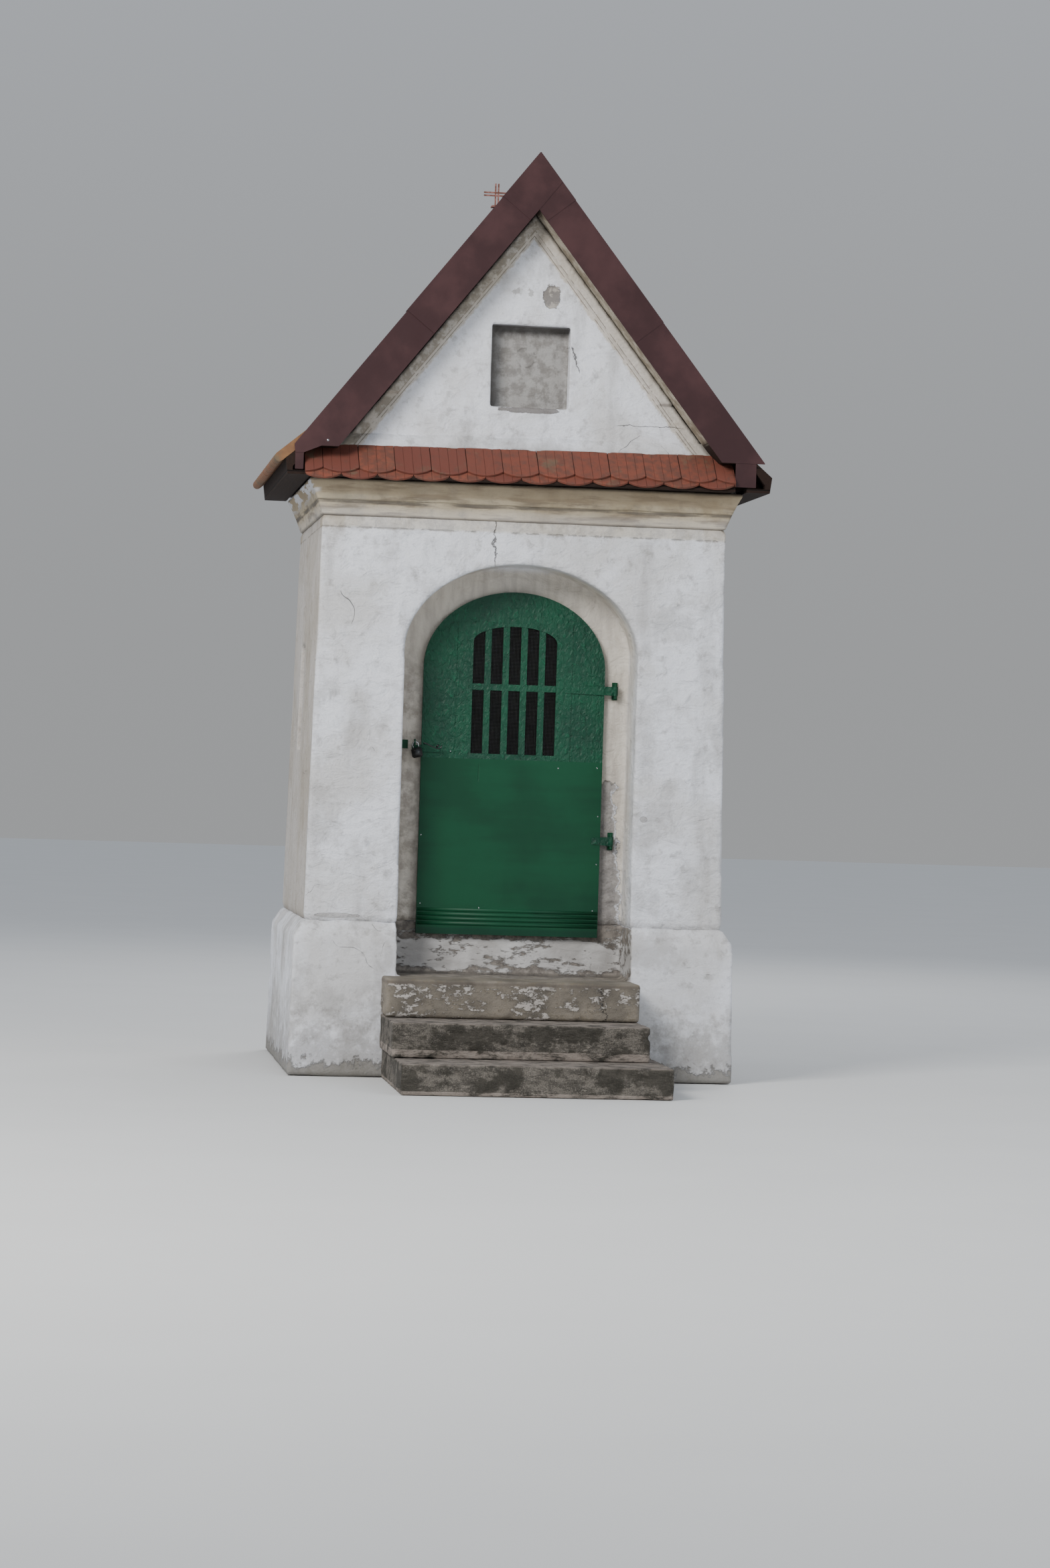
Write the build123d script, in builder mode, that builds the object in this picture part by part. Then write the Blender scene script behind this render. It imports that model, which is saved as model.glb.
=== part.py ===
from build123d import *
from math import atan, cos, radians, sin, tan
import os

# A small masonry wayside shrine. Sizes are in millimetres, the front faces -Y, +Z is up,
# and the origin is on the ground in the middle of the masonry body.

# Steps, from the bottom one up: rise, depth of the tread and width
BOTTOM_STEP_RISE = 150.0
BOTTOM_STEP_DEPTH = 360.0
BOTTOM_STEP_WIDTH = 1313.0
MIDDLE_STEP_RISE = 170.0
MIDDLE_STEP_DEPTH = 360.0
TOP_STEP_RISE = 190.0
TOP_STEP_DEPTH = 300.0
TOP_STEP_WIDTH = 1265.0
TOP_STEP_OFFSET = -37.0           # the upper two stand off the centre line
STEP_EDGE = 9.0                   # worn front edges

# Masonry body: every outer face leans in by the batter
BATTER_ANGLE = 1.0
BODY_WIDTH = 2122.0               # at the top of the plinth
BODY_DEPTH = 1630.0               # at the top of the plinth
PLINTH_OVER_SILL = 270.0
SHOULDER_HEIGHT = 80.0            # sloping top of the plinth
PLINTH_STEP = 50.0                # how far the plinth stands out
SIDE_WALL = 331.0                 # thickness at the top of the plinth
FRONT_WALL = 480.0
BACK_WALL = 295.0
FLOOR_OVER_SILL = 220.0
FLOOR_THICKNESS = 80.0

# Door: a sheet-metal leaf with an elliptical head, hinged on the right
DOOR_WIDTH = 932.0
DOOR_DROP = 20.0                  # the leaf starts this much under the floor
DOOR_SIDE_HEIGHT = 1360.0         # up to where the head starts
DOOR_RISE = 390.0
DOOR_THICKNESS = 22.0
DOOR_GAP = 8.0                    # between the leaf and the wall behind it
DOORWAY_LAP = 30.0                # the leaf covers the doorway's edge by this much
GRILLE_OVER_DOOR_FOOT = 923.0
GRILLE_WIDTH = 430.0
GRILLE_SIDE_HEIGHT = 570.0
GRILLE_RISE = 81.0
PANEL_SIDE = 80.0                 # the panel round the grille, beside, under and over it
PANEL_UNDER = 28.0
PANEL_OVER = 16.0
PANEL_THICKNESS = 3.0
BARS = 4
BAR_WIDTH = 33.0
BAR_THICKNESS = 6.0
MESH_THICKNESS = 3.0
RIB_FIRST = 51.0                  # lowest of the ribs pressed into the lower sheet
RIB_PITCH = 23.0
RIBS = 4
RIB_WIDTH = 7.0
RIB_REACH = 4.0
SEAT = 0.2                        # play round what is let into the leaf

# Recess in the front wall, in front of the door
RECESS_DEPTH = 315.0
RECESS_MARGIN = 122.0             # from the door's edge to the jamb
RECESS_SPRING_LIFT = 65.0
RECESS_RISE_LIFT = 60.0

# Strap hinges on pintles
HINGE_OFFSET = 56.0               # from the door's edge to the pin
PIN_RADIUS = 7.0
PIN_PLAY = 0.05
KNUCKLE_RADIUS = 13.0
STRAP_HEIGHT = 47.0
STRAP_THICKNESS = 6.0
STRAP_TAIL_HEIGHT = 34.0          # the straps taper towards their tails
UPPER_STRAP_LENGTH = 263.0
LOWER_STRAP_LENGTH = 102.0
UPPER_HINGE_OVER_GRILLE_FOOT = 340.0
LOWER_HINGE_OVER_DOOR_FOOT = 494.0
PINTLE_PLATE = 5.0
PINTLE_PLATE_HEIGHT = 90.0
PINTLE_ARM = 14.0

# Hasp, padlock and the staple on the wall, from the door's left edge
HASP_OVER_GRILLE_FOOT = 17.0
HASP_HEIGHT = 34.0
HASP_THICKNESS = 4.0
HASP_INSIDE = 93.0
HASP_OUTSIDE = 50.0
EYE_OUTSIDE = 37.0
EYE_THICKNESS = 6.0
EYE_REACH = 34.0
EYE_HEIGHT = 46.0
EYE_FOOT = 8.0
EYE_HOLE = 6.0
EYE_PLAY = 0.6                    # the hanging shackle's play in the eye
SHACKLE_WIRE = 3.5
SHACKLE_HALF_SPAN = 13.0
SHACKLE_LEG = 18.0
PADLOCK_WIDTH = 54.0
PADLOCK_HEIGHT = 50.0
PADLOCK_DEPTH = 18.0
STAPLE_OUTSIDE = 89.0
STAPLE_OVER_HASP = 20.0
STAPLE_PLATE = 44.0
STAPLE_THICKNESS = 4.0

# Blind niches in the side walls
SIDE_NICHE_OVER_PLINTH = 850.0
SIDE_NICHE_WIDTH = 240.0
SIDE_NICHE_HEIGHT = 540.0
SIDE_NICHE_DEPTH = 90.0
SIDE_NICHE_OFFSET = 150.0         # behind the middle of the wall

# Cornice round the head of the walls
ARCH_COVER = 209.0                # masonry between the recess's crown and the cornice
CORNICE_HEIGHT = 191.0
CORNICE_REACH = 72.0
CORNICE_LIP = 12.0
CORNICE_COVE = 5.0                # depth of the hollow curve
GROOVE = 8.0

# Roof: a steep gable roof, its stack measured square to the slope from the verge's top line
ROOF_RISE = 1650.0                # ridge over the cornice's top
VERGE_OVERHANG = 150.0            # past the gable's face
VERGE_WIDTH = 175.0
VERGE_LAP = 65.0                  # top flange of the verge flashing
VERGE_FOOT_LIFT = 145.0
FLASHING = 5.0
TILE_LAYER = 60.0
TILE_GAUGE = 150.0
TILE_STEP = 14.0
RIDGE_LAP = 110.0
LIP_HEIGHT = 38.0                 # folded lip under the foot of the front left verge
LIP_LENGTH = 135.0
LIP_TAPER = 90.0
END_SHEET = 3.0                   # sheets that close the front ends of the eaves
END_SHEET_WIDTH = 106.0
END_SHEET_LIFT = 25.0
LEFT_SHEET_WIDTH = 47.0
SHEET_PLAY = 1.0

# Eaves: the last course tips up a little and overhangs a boarded fascia
EAVE_OVERHANG = 92.0              # past the cornice
EAVE_LIFT = 143.0                 # verge's top line over the cornice's top there
EAVE_SOFFIT = 20.0
KICK_LENGTH = 90.0
EAVE_TIP_REACH = 95.0
EAVE_TIP_LIFT = 93.0
EAVE_TILES = 50.0
BOARD_REACH = 35.0
FASCIA_REACH = 25.0
LOST_TILES = 540.0                # length of the right eave that has lost its tiles

# Gables and the niche in the front one
GABLE_THICKNESS = 280.0
RAKE_WIDTH = 60.0                 # plaster band under the verge
RAKE_REACH = 25.0
RAKE_LIFT = 435.0
GABLE_NICHE_LIFT = 395.0
GABLE_NICHE_WIDTH = 395.0
GABLE_NICHE_HEIGHT = 410.0
GABLE_NICHE_DEPTH = 90.0

# Tiled skirt across the foot of the front gable
SKIRT_TOP_LIFT = 165.0
SKIRT_FOOT_LIFT = 10.0
SKIRT_REACH = 170.0
SKIRT_TILES = 24.0
SKIRT_LEFT_OVERHANG = 32.0        # past the cornice's end
SKIRT_RIGHT_SETBACK = 63.0        # short of the cornice's end

# Cross on the back end of the ridge, made of pairs of thin bars
CROSS_SETBACK = 50.0
CROSS_HEIGHT = 131.0
CROSS_ARM_LIFT = 73.0
CROSS_HALF_SPAN = 72.0
CROSS_BAR = 8.0
CROSS_GAP = 8.0
CROSS_PLATE = 60.0

FAR = 8000.0                      # cutting blocks run past everything

# Heights, from the ground up
sill_z = BOTTOM_STEP_RISE + MIDDLE_STEP_RISE + TOP_STEP_RISE
floor_z = sill_z + FLOOR_OVER_SILL
plinth_top = sill_z + PLINTH_OVER_SILL
shoulder_foot = plinth_top - SHOULDER_HEIGHT
door_foot = floor_z - DOOR_DROP
door_spring = door_foot + DOOR_SIDE_HEIGHT
grille_foot = door_foot + GRILLE_OVER_DOOR_FOOT
grille_spring = grille_foot + GRILLE_SIDE_HEIGHT
recess_spring = door_spring + RECESS_SPRING_LIFT
recess_rise = DOOR_RISE + RECESS_RISE_LIFT
cornice_foot = recess_spring + recess_rise + ARCH_COVER
cornice_top = cornice_foot + CORNICE_HEIGHT
roof_apex = cornice_top + ROOF_RISE

# Places in plan
lean = tan(radians(BATTER_ANGLE))
door_half_width = DOOR_WIDTH / 2
doorway_half_width = door_half_width - DOORWAY_LAP
grille_half_width = GRILLE_WIDTH / 2
recess_half_width = door_half_width + RECESS_MARGIN
room_half_width = BODY_WIDTH / 2 - SIDE_WALL
room_front = FRONT_WALL - BODY_DEPTH / 2
room_back = BODY_DEPTH / 2 - BACK_WALL
recess_back = RECESS_DEPTH - BODY_DEPTH / 2


def half_width(z):
    """Half of the body's width at a height."""
    return BODY_WIDTH / 2 - (z - plinth_top) * lean


def half_depth(z):
    """Half of the body's depth at a height."""
    return BODY_DEPTH / 2 - (z - plinth_top) * lean


gable_face = half_depth(cornice_foot)
cornice_half_width = half_width(cornice_foot) + CORNICE_REACH


def battered(z_low, z_high, out_low=0.0, out_high=0.0):
    """Add the whole body between two heights, grown sideways at its foot and head."""
    with BuildSketch(Plane.XY.offset(z_low)) as foot:
        Rectangle(2 * (half_width(z_low) + out_low), 2 * (half_depth(z_low) + out_low))
    with BuildSketch(Plane.XY.offset(z_high)) as head:
        Rectangle(2 * (half_width(z_high) + out_high), 2 * (half_depth(z_high) + out_high))
    loft([foot.sketch, head.sketch])


def plinth_mass():
    """Add the whole plinth with its sloping shoulder."""
    battered(0.0, shoulder_foot, PLINTH_STEP, PLINTH_STEP)
    battered(shoulder_foot, plinth_top, PLINTH_STEP, 0.0)


def block(x_low, x_high, y_low, y_high, z_low, z_high, mode=Mode.ADD):
    """A rectangular block between two corners."""
    centre = ((x_low + x_high) / 2, (y_low + y_high) / 2, (z_low + z_high) / 2)
    with Locations(centre):
        Box(x_high - x_low, y_high - y_low, z_high - z_low, mode=mode)


def arched(y, depth, half_span, foot, spring, rise, mode=Mode.ADD):
    """A slab with an elliptical head: its back is at y and it reaches depth to the front."""
    with BuildSketch(Plane.XZ.offset(-y)) as face:
        with Locations((0, (foot + spring) / 2)):
            Rectangle(2 * half_span, spring - foot)
        with Locations((0, spring)):
            Ellipse(half_span, rise)
    extrude(face.sketch, amount=depth, mode=mode)


def save(part, name):
    """Label a finished piece and write it."""
    part.part.label = name
    export_step(part.part, f"parts/{name}.step")


os.makedirs("parts", exist_ok=True)

# Plinth, floor and door sill
with BuildPart() as plinth_front:
    plinth_mass()
    block(-FAR, -recess_half_width, -FAR, room_front, 0, plinth_top, Mode.INTERSECT)
    mirror(about=Plane.YZ)
save(plinth_front, "plinth_front")

with BuildPart() as plinth_sides:
    plinth_mass()
    block(-FAR, -room_half_width, room_front, room_back, 0, plinth_top, Mode.INTERSECT)
    mirror(about=Plane.YZ)
save(plinth_sides, "plinth_sides")

with BuildPart() as plinth_back:
    plinth_mass()
    block(-FAR, FAR, room_back, FAR, 0, plinth_top, Mode.INTERSECT)
save(plinth_back, "plinth_back")

with BuildPart() as recess_sill:
    plinth_mass()
    block(-recess_half_width, recess_half_width, -FAR, room_front, 0, sill_z, Mode.INTERSECT)
save(recess_sill, "recess_sill")

with BuildPart() as door_riser:
    block(-recess_half_width, recess_half_width, recess_back, room_front, sill_z, plinth_top)
    block(-doorway_half_width, doorway_half_width, -FAR, FAR, floor_z, FAR, Mode.SUBTRACT)
save(door_riser, "door_riser")

floor_foot = floor_z - FLOOR_THICKNESS
with BuildPart() as base_fill:
    block(-room_half_width, room_half_width, room_front, room_back, 0, floor_foot)
save(base_fill, "base_fill")

with BuildPart() as floor_slab:
    block(-room_half_width, room_half_width, room_front, room_back, floor_foot, floor_z)
save(floor_slab, "floor_slab")

# Walls: the front one is two piers, the arch over the recess and the arch over the doorway
with BuildPart() as front_piers:
    battered(plinth_top, door_spring)
    block(-FAR, -doorway_half_width, -FAR, room_front, 0, FAR, Mode.INTERSECT)
    block(-recess_half_width, FAR, -FAR, recess_back, 0, FAR, Mode.SUBTRACT)
    mirror(about=Plane.YZ)
save(front_piers, "front_piers")

with BuildPart() as recess_arch:
    battered(door_spring, cornice_foot)
    block(-FAR, FAR, -FAR, recess_back, 0, FAR, Mode.INTERSECT)
    arched(FAR, 2 * FAR, recess_half_width, 0, recess_spring, recess_rise, Mode.SUBTRACT)
save(recess_arch, "recess_arch")

with BuildPart() as doorway_arch:
    battered(door_spring, cornice_foot)
    block(-FAR, FAR, recess_back, room_front, 0, FAR, Mode.INTERSECT)
    arched(FAR, 2 * FAR, doorway_half_width, 0, door_spring, DOOR_RISE - DOORWAY_LAP, Mode.SUBTRACT)
save(doorway_arch, "doorway_arch")

niche_foot = plinth_top + SIDE_NICHE_OVER_PLINTH
niche_head = niche_foot + SIDE_NICHE_HEIGHT
with BuildPart() as left_wall:
    battered(plinth_top, cornice_foot)
    block(-FAR, -room_half_width, room_front, room_back, 0, FAR, Mode.INTERSECT)
    block(-FAR, SIDE_NICHE_DEPTH - half_width(niche_head), SIDE_NICHE_OFFSET - SIDE_NICHE_WIDTH / 2,
          SIDE_NICHE_OFFSET + SIDE_NICHE_WIDTH / 2, niche_foot, niche_head, Mode.SUBTRACT)
save(left_wall, "left_wall")

with BuildPart() as right_wall:
    mirror(left_wall.part, about=Plane.YZ)
save(right_wall, "right_wall")

with BuildPart() as back_wall:
    battered(plinth_top, cornice_foot)
    block(-FAR, FAR, room_back, FAR, 0, FAR, Mode.INTERSECT)
save(back_wall, "back_wall")


# Cornice: a coved course round the head of the walls
def cornice_prism(plane, half_span, mode=Mode.ADD):
    """The cornice's section on both sides of the body, run along the whole body."""
    reach = half_span + CORNICE_REACH
    lip_foot = cornice_top - CORNICE_LIP
    cove_foot = cornice_foot + GROOVE
    middle = ((half_span + reach) / 2 - CORNICE_COVE, (cove_foot + lip_foot) / 2)
    with BuildSketch(plane) as section:
        with BuildLine() as outline:
            Polyline((0, cornice_foot), (half_span - GROOVE, cornice_foot),
                     (half_span - GROOVE, cove_foot), (half_span, cove_foot))
            ThreePointArc((half_span, cove_foot), middle, (reach, lip_foot))
            Polyline((reach, lip_foot), (reach, cornice_top), (0, cornice_top))
            mirror(outline.line, about=Plane.YZ)
        make_face()
    extrude(section.sketch, amount=FAR, both=True, mode=mode)


def cornice_mass():
    """Add the whole cornice, mitred at its corners, with the room left open."""
    cornice_prism(Plane.XZ, half_width(cornice_foot))
    cornice_prism(Plane.YZ, half_depth(cornice_foot), Mode.INTERSECT)
    block(-room_half_width, room_half_width, room_front, room_back, 0, FAR, Mode.SUBTRACT)


with BuildPart() as cornice_front:
    cornice_mass()
    block(-FAR, FAR, -FAR, room_front, 0, FAR, Mode.INTERSECT)
save(cornice_front, "cornice_front")

with BuildPart() as cornice_left:
    cornice_mass()
    block(-FAR, 0, room_front, room_back, 0, FAR, Mode.INTERSECT)
save(cornice_left, "cornice_left")

with BuildPart() as cornice_right:
    mirror(cornice_left.part, about=Plane.YZ)
save(cornice_right, "cornice_right")

with BuildPart() as cornice_back:
    cornice_mass()
    block(-FAR, FAR, room_back, FAR, 0, FAR, Mode.INTERSECT)
save(cornice_back, "cornice_back")

# Roof's main lines
eave_reach = cornice_half_width + EAVE_OVERHANG
slope = atan((ROOF_RISE - EAVE_LIFT) / eave_reach)
roof_half_length = gable_face + VERGE_OVERHANG
roof_length = 2 * roof_half_length
soffit_top = cornice_top + EAVE_SOFFIT
deck_top = FLASHING + TILE_LAYER
kick_start = eave_reach - KICK_LENGTH
skirt_front = -gable_face - SKIRT_REACH
skirt_left = -cornice_half_width - SKIRT_LEFT_OVERHANG
skirt_right = cornice_half_width - SKIRT_RIGHT_SETBACK


def under_verge(depth, x):
    """Height of a layer line of the slope at a distance from the ridge."""
    return roof_apex - depth / cos(slope) - x * tan(slope)


def slope_plane(y):
    """Section plane of the right-hand slope: x runs down the slope, y out of it."""
    down = (cos(slope), 0, -sin(slope))
    return Plane(origin=(0, y, roof_apex), x_dir=down, z_dir=(0, -1, 0))


def slope_layer(y_back, length, depth_low, depth_high, reach=eave_reach, foot=0.0):
    """Add one layer of the right-hand slope, between two depths under the verge's top line."""
    with BuildSketch(slope_plane(y_back)) as section:
        with Locations((FAR / 2 - VERGE_WIDTH * 2, -(depth_low + depth_high) / 2)):
            Rectangle(FAR, depth_high - depth_low)
    with BuildPart(mode=Mode.PRIVATE) as layer:
        extrude(section.sketch, amount=length)
        block(0, reach, -FAR, FAR, foot, FAR, Mode.INTERSECT)
    add(layer.part)


def skirt_layer(lift_low, lift_high, mode=Mode.ADD):
    """A layer of the skirt across the gable's foot, between two heights over its bed line."""
    top = cornice_top + SKIRT_TOP_LIFT
    foot = cornice_top + SKIRT_FOOT_LIFT
    with BuildSketch(Plane.YZ.offset(skirt_left)) as section:
        with BuildLine():
            Polyline((-gable_face, top + lift_low), (skirt_front, foot + lift_low),
                     (skirt_front, foot + lift_high), (-gable_face, top + lift_high), close=True)
        make_face()
    extrude(section.sketch, amount=skirt_right - skirt_left, mode=mode)


# Skirt: a short tiled slope in front of the gable's foot, let into the roof's front corners
with BuildPart() as skirt_bed:
    skirt_layer(-FAR, 0)
    block(-FAR, FAR, -FAR, FAR, cornice_top, FAR, Mode.INTERSECT)
save(skirt_bed, "skirt_bed")

with BuildPart() as skirt_tiles:
    skirt_layer(0, SKIRT_TILES)
save(skirt_tiles, "skirt_tiles")

# Roof decks and tiles
with BuildPart() as whole_deck:
    slope_layer(roof_half_length, roof_length, deck_top, VERGE_WIDTH, foot=soffit_top)

with BuildPart() as roof_deck_right:
    add(whole_deck.part)
    skirt_layer(-FAR, SKIRT_TILES, Mode.SUBTRACT)
save(roof_deck_right, "roof_deck_right")

with BuildPart() as roof_deck_left:
    mirror(whole_deck.part, about=Plane.YZ)
    skirt_layer(-FAR, SKIRT_TILES, Mode.SUBTRACT)
save(roof_deck_left, "roof_deck_left")

tiled_length = (kick_start + FLASHING * sin(slope)) / cos(slope) - FLASHING * tan(slope)
courses = int(tiled_length / TILE_GAUGE) + 1
with BuildPart() as tiles_right:
    with BuildSketch(slope_plane(roof_half_length)):
        with BuildLine():
            points = [(tiled_length, -deck_top), (tiled_length, -FLASHING)]
            for course in range(courses):
                tail = tiled_length - (course + 1) * TILE_GAUGE
                points.append((tail, -FLASHING - TILE_STEP))
                points.append((tail, -FLASHING))
            points.append((-TILE_GAUGE, -FLASHING - TILE_STEP))
            points.append((-TILE_GAUGE, -deck_top))
            Polyline(*points, close=True)
        make_face()
    extrude(amount=roof_length)
    block(0, eave_reach, -FAR, FAR, 0, FAR, Mode.INTERSECT)
save(tiles_right, "tiles_right")

with BuildPart() as tiles_left:
    mirror(tiles_right.part, about=Plane.YZ)
save(tiles_left, "tiles_left")

# Verge flashings, with the sheets that close the front ends of the eaves
verge_reach = eave_reach - FLASHING
verge_foot_z = cornice_top + VERGE_FOOT_LIFT
end_sheet_foot = cornice_top + END_SHEET_LIFT
with BuildPart() as whole_verge:
    slope_layer(-roof_half_length, FLASHING, 0, VERGE_WIDTH, verge_reach, verge_foot_z)
    slope_layer(VERGE_LAP - roof_half_length, VERGE_LAP, 0, FLASHING, kick_start - FLASHING)

with BuildPart() as verge_front_right:
    add(whole_verge.part)
    sheet_inner = skirt_right + SHEET_PLAY
    block(sheet_inner, sheet_inner + END_SHEET_WIDTH, -roof_half_length - END_SHEET, -roof_half_length,
          end_sheet_foot, verge_foot_z)
save(verge_front_right, "verge_front_right")

with BuildPart() as verge_front_left:
    mirror(whole_verge.part, about=Plane.YZ)
    with BuildSketch(Plane.XZ.offset(roof_half_length)) as lip:
        with BuildLine():
            Polyline((-verge_reach, verge_foot_z), (LIP_LENGTH - verge_reach, verge_foot_z),
                     (LIP_LENGTH - LIP_TAPER - verge_reach, verge_foot_z - LIP_HEIGHT),
                     (FLASHING - verge_reach, verge_foot_z - LIP_HEIGHT), close=True)
        make_face()
    extrude(lip.sketch, amount=FLASHING)
    block(FLASHING - verge_reach, LEFT_SHEET_WIDTH - verge_reach, -roof_half_length - END_SHEET,
          -roof_half_length, end_sheet_foot, verge_foot_z)
save(verge_front_left, "verge_front_left")

with BuildPart() as verge_back:
    mirror(whole_verge.part, about=Plane.XZ)
    mirror(about=Plane.YZ)
save(verge_back, "verge_back")

with BuildPart() as ridge_cap:
    cap_length = roof_length - 2 * VERGE_LAP
    slope_layer(cap_length / 2, cap_length, 0, FLASHING, RIDGE_LAP * cos(slope))
    mirror(about=Plane.YZ)
save(ridge_cap, "ridge_cap")

# Eave course and boards, right-hand section: the course's four corners come first
kick_head = Vector(kick_start, under_verge(FLASHING, kick_start))
kick_tip = Vector(eave_reach + EAVE_TIP_REACH, cornice_top + EAVE_TIP_LIFT)
kick_normal = (kick_tip - kick_head).normalized().rotate(Axis.Z, -90)
into_roof = Vector(-sin(slope), -cos(slope))
tip_under = kick_tip + kick_normal * EAVE_TILES
kick_under = kick_head + into_roof * EAVE_TILES
kick_foot = kick_head + into_roof * TILE_LAYER
board_share = (eave_reach + BOARD_REACH - kick_under.X) / (tip_under.X - kick_under.X)
board_tip = kick_under + (tip_under - kick_under) * board_share


def eave_prism(corners):
    """Add a closed section of the right-hand eave, run along the whole roof."""
    with BuildSketch(Plane.XZ.offset(-roof_half_length)) as section:
        with BuildLine():
            Polyline(*[(corner.X, corner.Y) for corner in corners], close=True)
        make_face()
    extrude(section.sketch, amount=roof_length)


with BuildPart() as eave_tiles:
    eave_prism((kick_head, kick_tip, tip_under, kick_under))
    mirror(about=Plane.YZ)
    block(0, FAR, -FAR, LOST_TILES - roof_half_length, 0, FAR, Mode.SUBTRACT)
    skirt_layer(-FAR, SKIRT_TILES, Mode.SUBTRACT)
save(eave_tiles, "eave_tiles")

with BuildPart() as eave_boards:
    eave_prism((kick_under, board_tip, Vector(eave_reach + FASCIA_REACH, cornice_top),
                Vector(cornice_half_width, cornice_top), Vector(cornice_half_width, soffit_top),
                Vector(eave_reach, soffit_top), Vector(eave_reach, under_verge(deck_top, eave_reach)),
                kick_foot))
    mirror(about=Plane.YZ)
    skirt_layer(-FAR, SKIRT_TILES, Mode.SUBTRACT)
save(eave_boards, "eave_boards")


# Gables: masonry triangles that stand on the end walls and carry the slopes
def gable_triangle(y_front):
    """Add a gable whose rakes meet the underside of the roof deck."""
    apex = under_verge(VERGE_WIDTH, 0)
    half_base = (apex - cornice_top) / tan(slope)
    with BuildSketch(Plane.XZ.offset(-y_front - GABLE_THICKNESS)) as face:
        with BuildLine():
            Polyline((-half_base, cornice_top), (half_base, cornice_top), (0, apex), close=True)
        make_face()
    extrude(face.sketch, amount=GABLE_THICKNESS)


gable_niche_foot = cornice_top + GABLE_NICHE_LIFT
with BuildPart() as front_gable:
    gable_triangle(-gable_face)
    block(-GABLE_NICHE_WIDTH / 2, GABLE_NICHE_WIDTH / 2, -FAR, GABLE_NICHE_DEPTH - gable_face,
          gable_niche_foot, gable_niche_foot + GABLE_NICHE_HEIGHT, Mode.SUBTRACT)
    with BuildPart(mode=Mode.PRIVATE) as rake_band:
        slope_layer(-gable_face, RAKE_REACH, VERGE_WIDTH, VERGE_WIDTH + RAKE_WIDTH,
                    foot=cornice_top + RAKE_LIFT)
    add(rake_band.part)
    mirror(rake_band.part, about=Plane.YZ)
save(front_gable, "front_gable")

with BuildPart() as back_gable:
    gable_triangle(gable_face - GABLE_THICKNESS)
save(back_gable, "back_gable")

# Cross at the back of the ridge
with BuildPart() as ridge_cross:
    cross_y = roof_half_length - CROSS_SETBACK
    arm_z = roof_apex + CROSS_ARM_LIFT
    pair = (CROSS_BAR + CROSS_GAP) / 2
    for side in (-pair, pair):
        block(side - CROSS_BAR / 2, side + CROSS_BAR / 2, cross_y - CROSS_BAR / 2,
              cross_y + CROSS_BAR / 2, roof_apex, roof_apex + CROSS_HEIGHT)
        block(-CROSS_HALF_SPAN, CROSS_HALF_SPAN, cross_y - CROSS_BAR / 2, cross_y + CROSS_BAR / 2,
              arm_z + side - CROSS_BAR / 2, arm_z + side + CROSS_BAR / 2)
    block(-CROSS_PLATE / 2, CROSS_PLATE / 2, cross_y - CROSS_PLATE / 2, cross_y + CROSS_PLATE / 2,
          roof_apex, roof_apex + CROSS_BAR)
save(ridge_cross, "ridge_cross")


# Steps: three blocks against the plinth, each resting on the one below
def step_block(width, offset, front, z_low, rise):
    """One step with a worn front edge, cut to the plinth's batter."""
    with BuildPart() as whole_plinth:
        plinth_mass()
    with BuildPart() as piece:
        block(offset - width / 2, offset + width / 2, -front, 0, z_low, z_low + rise)
        add(whole_plinth.part, mode=Mode.SUBTRACT)
        nosing = piece.edges().filter_by(Axis.X).group_by(Axis.Z)[-1].sort_by(Axis.Y)[0]
        fillet(nosing, radius=STEP_EDGE)
    return piece


top_front = half_depth(0) + PLINTH_STEP + TOP_STEP_DEPTH
middle_front = top_front + MIDDLE_STEP_DEPTH
bottom_front = middle_front + BOTTOM_STEP_DEPTH
middle_foot = BOTTOM_STEP_RISE
top_foot = middle_foot + MIDDLE_STEP_RISE
save(step_block(BOTTOM_STEP_WIDTH, 0, bottom_front, 0, BOTTOM_STEP_RISE), "step_bottom")
save(step_block(TOP_STEP_WIDTH, TOP_STEP_OFFSET, middle_front, middle_foot, MIDDLE_STEP_RISE),
     "step_middle")
save(step_block(TOP_STEP_WIDTH, TOP_STEP_OFFSET, top_front, top_foot, TOP_STEP_RISE), "step_top")

# Door leaf and what is fixed to it
leaf_back = recess_back - DOOR_GAP
leaf_front = leaf_back - DOOR_THICKNESS
panel_front = leaf_front - PANEL_THICKNESS
panel_foot = grille_foot - PANEL_UNDER
panel_top = grille_spring + GRILLE_RISE + PANEL_OVER
hinge_x = door_half_width + HINGE_OFFSET
hinge_y = leaf_front - STRAP_THICKNESS / 2
upper_hinge_z = grille_foot + UPPER_HINGE_OVER_GRILLE_FOOT
lower_hinge_z = door_foot + LOWER_HINGE_OVER_DOOR_FOOT


def grille_cut():
    """Cut the grille's round-headed hole."""
    arched(FAR, 2 * FAR, grille_half_width, grille_foot, grille_spring, GRILLE_RISE, Mode.SUBTRACT)


def strap(z, length, mode=Mode.ADD):
    """A strap hinge's tapered arm, from the pin to its tail."""
    with BuildSketch(Plane.XZ.offset(-leaf_front)) as outline:
        with BuildLine():
            Polyline((hinge_x, z - STRAP_HEIGHT / 2), (hinge_x, z + STRAP_HEIGHT / 2),
                     (hinge_x - length, z + STRAP_TAIL_HEIGHT / 2),
                     (hinge_x - length, z - STRAP_TAIL_HEIGHT / 2), close=True)
        make_face()
    extrude(outline.sketch, amount=STRAP_THICKNESS, mode=mode)


with BuildPart() as door_leaf:
    arched(leaf_back, DOOR_THICKNESS, door_half_width, door_foot, door_spring, DOOR_RISE)
    grille_cut()
save(door_leaf, "door_leaf")

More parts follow.
